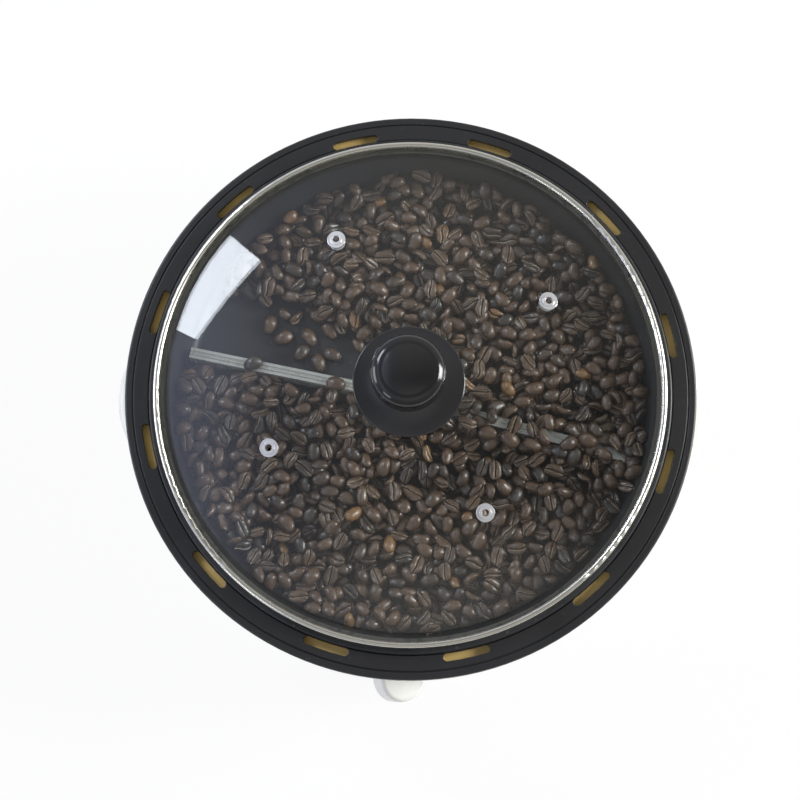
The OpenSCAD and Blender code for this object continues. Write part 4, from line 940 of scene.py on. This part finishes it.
def camera_axes(studio):
    """The camera's own right, up and backward directions."""
    azimuth, elevation = studio.azimuth, studio.elevation
    back = Vector((math.sin(azimuth) * math.cos(elevation), -math.cos(azimuth) * math.cos(elevation),
                   math.sin(elevation)))
    level = Vector((math.cos(azimuth), math.sin(azimuth), 0))
    upright = back.cross(level)
    cos, sin = math.cos(studio.roll), math.sin(studio.roll)
    return level * cos + upright * sin, upright * cos - level * sin, back


def add_camera(studio):
    """The camera, looking down on the lid from the front."""
    data = bpy.data.cameras.new("camera")
    data.lens = studio.lens
    data.sensor_width = 36
    camera = bpy.data.objects.new("camera", data)
    right, up, back = camera_axes(studio)
    turn = Matrix((right, up, back)).transposed().to_4x4()
    camera.matrix_world = Matrix.Translation(Vector(studio.aim) + back * studio.distance) @ turn
    bpy.context.scene.collection.objects.link(camera)
    bpy.context.scene.camera = camera


def add_lamp(name, azimuth, zenith, distance, size, radiance, colour=(1, 1, 1)):
    """A soft box in a direction from the lid, given from +X and from straight up, in degrees."""
    data = bpy.data.lights.new(name, "AREA")
    data.shape = "RECTANGLE"
    data.size, data.size_y = size
    data.energy = radiance * math.pi * size[0] * size[1]
    data.color = colour
    lamp = bpy.data.objects.new(name, data)
    azimuth, zenith = math.radians(azimuth), math.radians(zenith)
    flat = math.sin(zenith)
    away = Vector((math.cos(azimuth) * flat, math.sin(azimuth) * flat, math.cos(zenith)))
    turn = away.to_track_quat("Z", "Y").to_matrix().to_4x4()
    lamp.matrix_world = Matrix.Translation(LAMP_AIM + away * distance) @ turn
    lamp.visible_camera = False
    bpy.context.scene.collection.objects.link(lamp)


class WorldTree(Finish):
    """The node tree of the world's light."""

    def __init__(self, world):
        world.use_nodes = True
        self.start(world.node_tree)
        self.output = self.node("ShaderNodeOutputWorld")
        self.place = self.node("ShaderNodeTexCoord").outputs["Generated"]


def add_world(studio):
    """A pale room: haze over the lid that is stronger at its left and front, dimmer light from the sides,
    and white behind the part."""
    world = bpy.data.worlds.new("room")
    bpy.context.scene.world = world
    tree = WorldTree(world)
    x, y, z = tree.axes()
    above = (y * 0.43 - x * 0.31 + 0.13).at_least(0.04)
    overhead = z.ramp(0.5, 0.85)
    beside = x.ramp(-0.62, -0.36, 0.75, 0.0)
    before = y.ramp(-0.55, 0.02, 0.5, 0.0)
    haze = above + beside + before + 0.05
    round_about = 0.45 - x * 0.14 + y * 0.14
    light = (haze * overhead + round_about * (1.0 - overhead)) * studio.room_level
    tint = tree.blend(x.ramp(-0.8, 0.1), screen(212, 222, 255), screen(255, 253, 248))
    room = tree.node("ShaderNodeBackground", {}, {"Color": tint, "Strength": light})
    white = tree.node("ShaderNodeBackground", {}, {"Color": (1.0, 1.0, 1.0), "Strength": 1.0})
    seen = tree.node("ShaderNodeLightPath").outputs["Is Camera Ray"]
    both = tree.node("ShaderNodeMixShader", {}, {0: seen, 1: room.outputs[0], 2: white.outputs[0]})
    tree.show(both.outputs[0])


def add_floor():
    """A pale floor that shows white, and keeps the part's shadow."""
    corners = [(x * FLOOR_HALF, y * FLOOR_HALF, 0) for x, y in ((-1, -1), (1, -1), (1, 1), (-1, 1))]
    mesh = bpy.data.meshes.new("floor")
    mesh.from_pydata(corners, [], [(0, 1, 2, 3)])
    floor = bpy.data.objects.new("floor", mesh)
    bpy.context.scene.collection.objects.link(floor)
    made = Finish("floor_paper")
    cloud = made.noise(0.4, 3)
    paper = made.node("ShaderNodeBsdfDiffuse", {}, {
        "Color": made.blend(cloud, (0.86, 0.86, 0.86), (0.89, 0.89, 0.89))})
    white = made.node("ShaderNodeEmission", {}, {"Color": (1.0, 1.0, 1.0), "Strength": 1.0})
    path = made.node("ShaderNodeLightPath")
    camera, glossy, through = [Value(made, path.outputs[name]) for name in (
        "Is Camera Ray", "Is Glossy Ray", "Is Transmission Ray")]
    share = (camera + glossy + through).ramp(0.0, 1.0, 0.0, 0.9)
    both = made.node("ShaderNodeMixShader", {}, {0: share, 1: paper.outputs[0], 2: white.outputs[0]})
    made.nodes.remove(made.shader)
    made.show(both.outputs[0])
    mesh.materials.append(made.material)


class ROASTER_OT_studio(Operator):
    """Adds the pale floor, the soft light and the camera"""

    bl_idname = "roaster.studio"
    bl_label = "Set up the studio"

    def execute(self, context):
        studio = context.scene.roaster_studio
        context.scene.view_settings.view_transform = "Standard"
        add_camera(studio)
        add_world(studio)
        add_floor()
        level = studio.lamp_level
        add_lamp("left_window", 143.5, 52.1, 1.6, (0.465, 0.53), level, screen(240, 246, 255))
        add_lamp("right_window", 12, 60, 1.7, (0.65, 0.6), level * 1.55)
        add_lamp("low_right_window", 8, 78, 1.7, (0.6, 0.7), level * 1.2)
        add_lamp("front_window", 225, 64, 1.8, (0.5, 0.3), level * 0.4)
        add_lamp("side_window", 180, 76, 1.7, (0.8, 0.6), level * 0.45)
        return {"FINISHED"}


class ROASTER_PT_tools(Panel):
    """Lists the steps that dress the roaster"""

    bl_label = "Coffee roaster"
    bl_space_type = "VIEW_3D"
    bl_region_type = "UI"
    bl_category = "Roaster"

    def draw(self, context):
        for step in STEPS:
            self.layout.operator(step.bl_idname)
        for group in ("roaster_colours", "roaster_beans", "roaster_studio"):
            settings = getattr(context.scene, group)
            box = self.layout.box()
            for name in settings.__annotations__:
                box.prop(settings, name)


STEPS = (ROASTER_OT_studio, ROASTER_OT_lid, ROASTER_OT_pan, ROASTER_OT_heating, ROASTER_OT_body,
         ROASTER_OT_drive, ROASTER_OT_controls, ROASTER_OT_inlet, ROASTER_OT_beans)
GROUPS = {"roaster_colours": RoasterColours, "roaster_beans": RoasterBeans, "roaster_studio": RoasterStudio}
CLASSES = (*GROUPS.values(), *STEPS, ROASTER_PT_tools)


def register():
    """Registers the settings, the steps and the panel."""
    for kind in CLASSES:
        bpy.utils.register_class(kind)
    for name, kind in GROUPS.items():
        setattr(bpy.types.Scene, name, PointerProperty(type=kind))


def unregister():
    """Takes the settings, the steps and the panel away again."""
    for name in GROUPS:
        delattr(bpy.types.Scene, name)
    for kind in reversed(CLASSES):
        bpy.utils.unregister_class(kind)


def main():
    """Runs every step in order."""
    register()
    bpy.ops.roaster.studio()
    bpy.ops.roaster.lid()
    bpy.ops.roaster.pan()
    bpy.ops.roaster.heating()
    bpy.ops.roaster.body()
    bpy.ops.roaster.drive()
    bpy.ops.roaster.controls()
    bpy.ops.roaster.inlet()
    bpy.ops.roaster.beans()


if __name__ == "__main__":
    main()
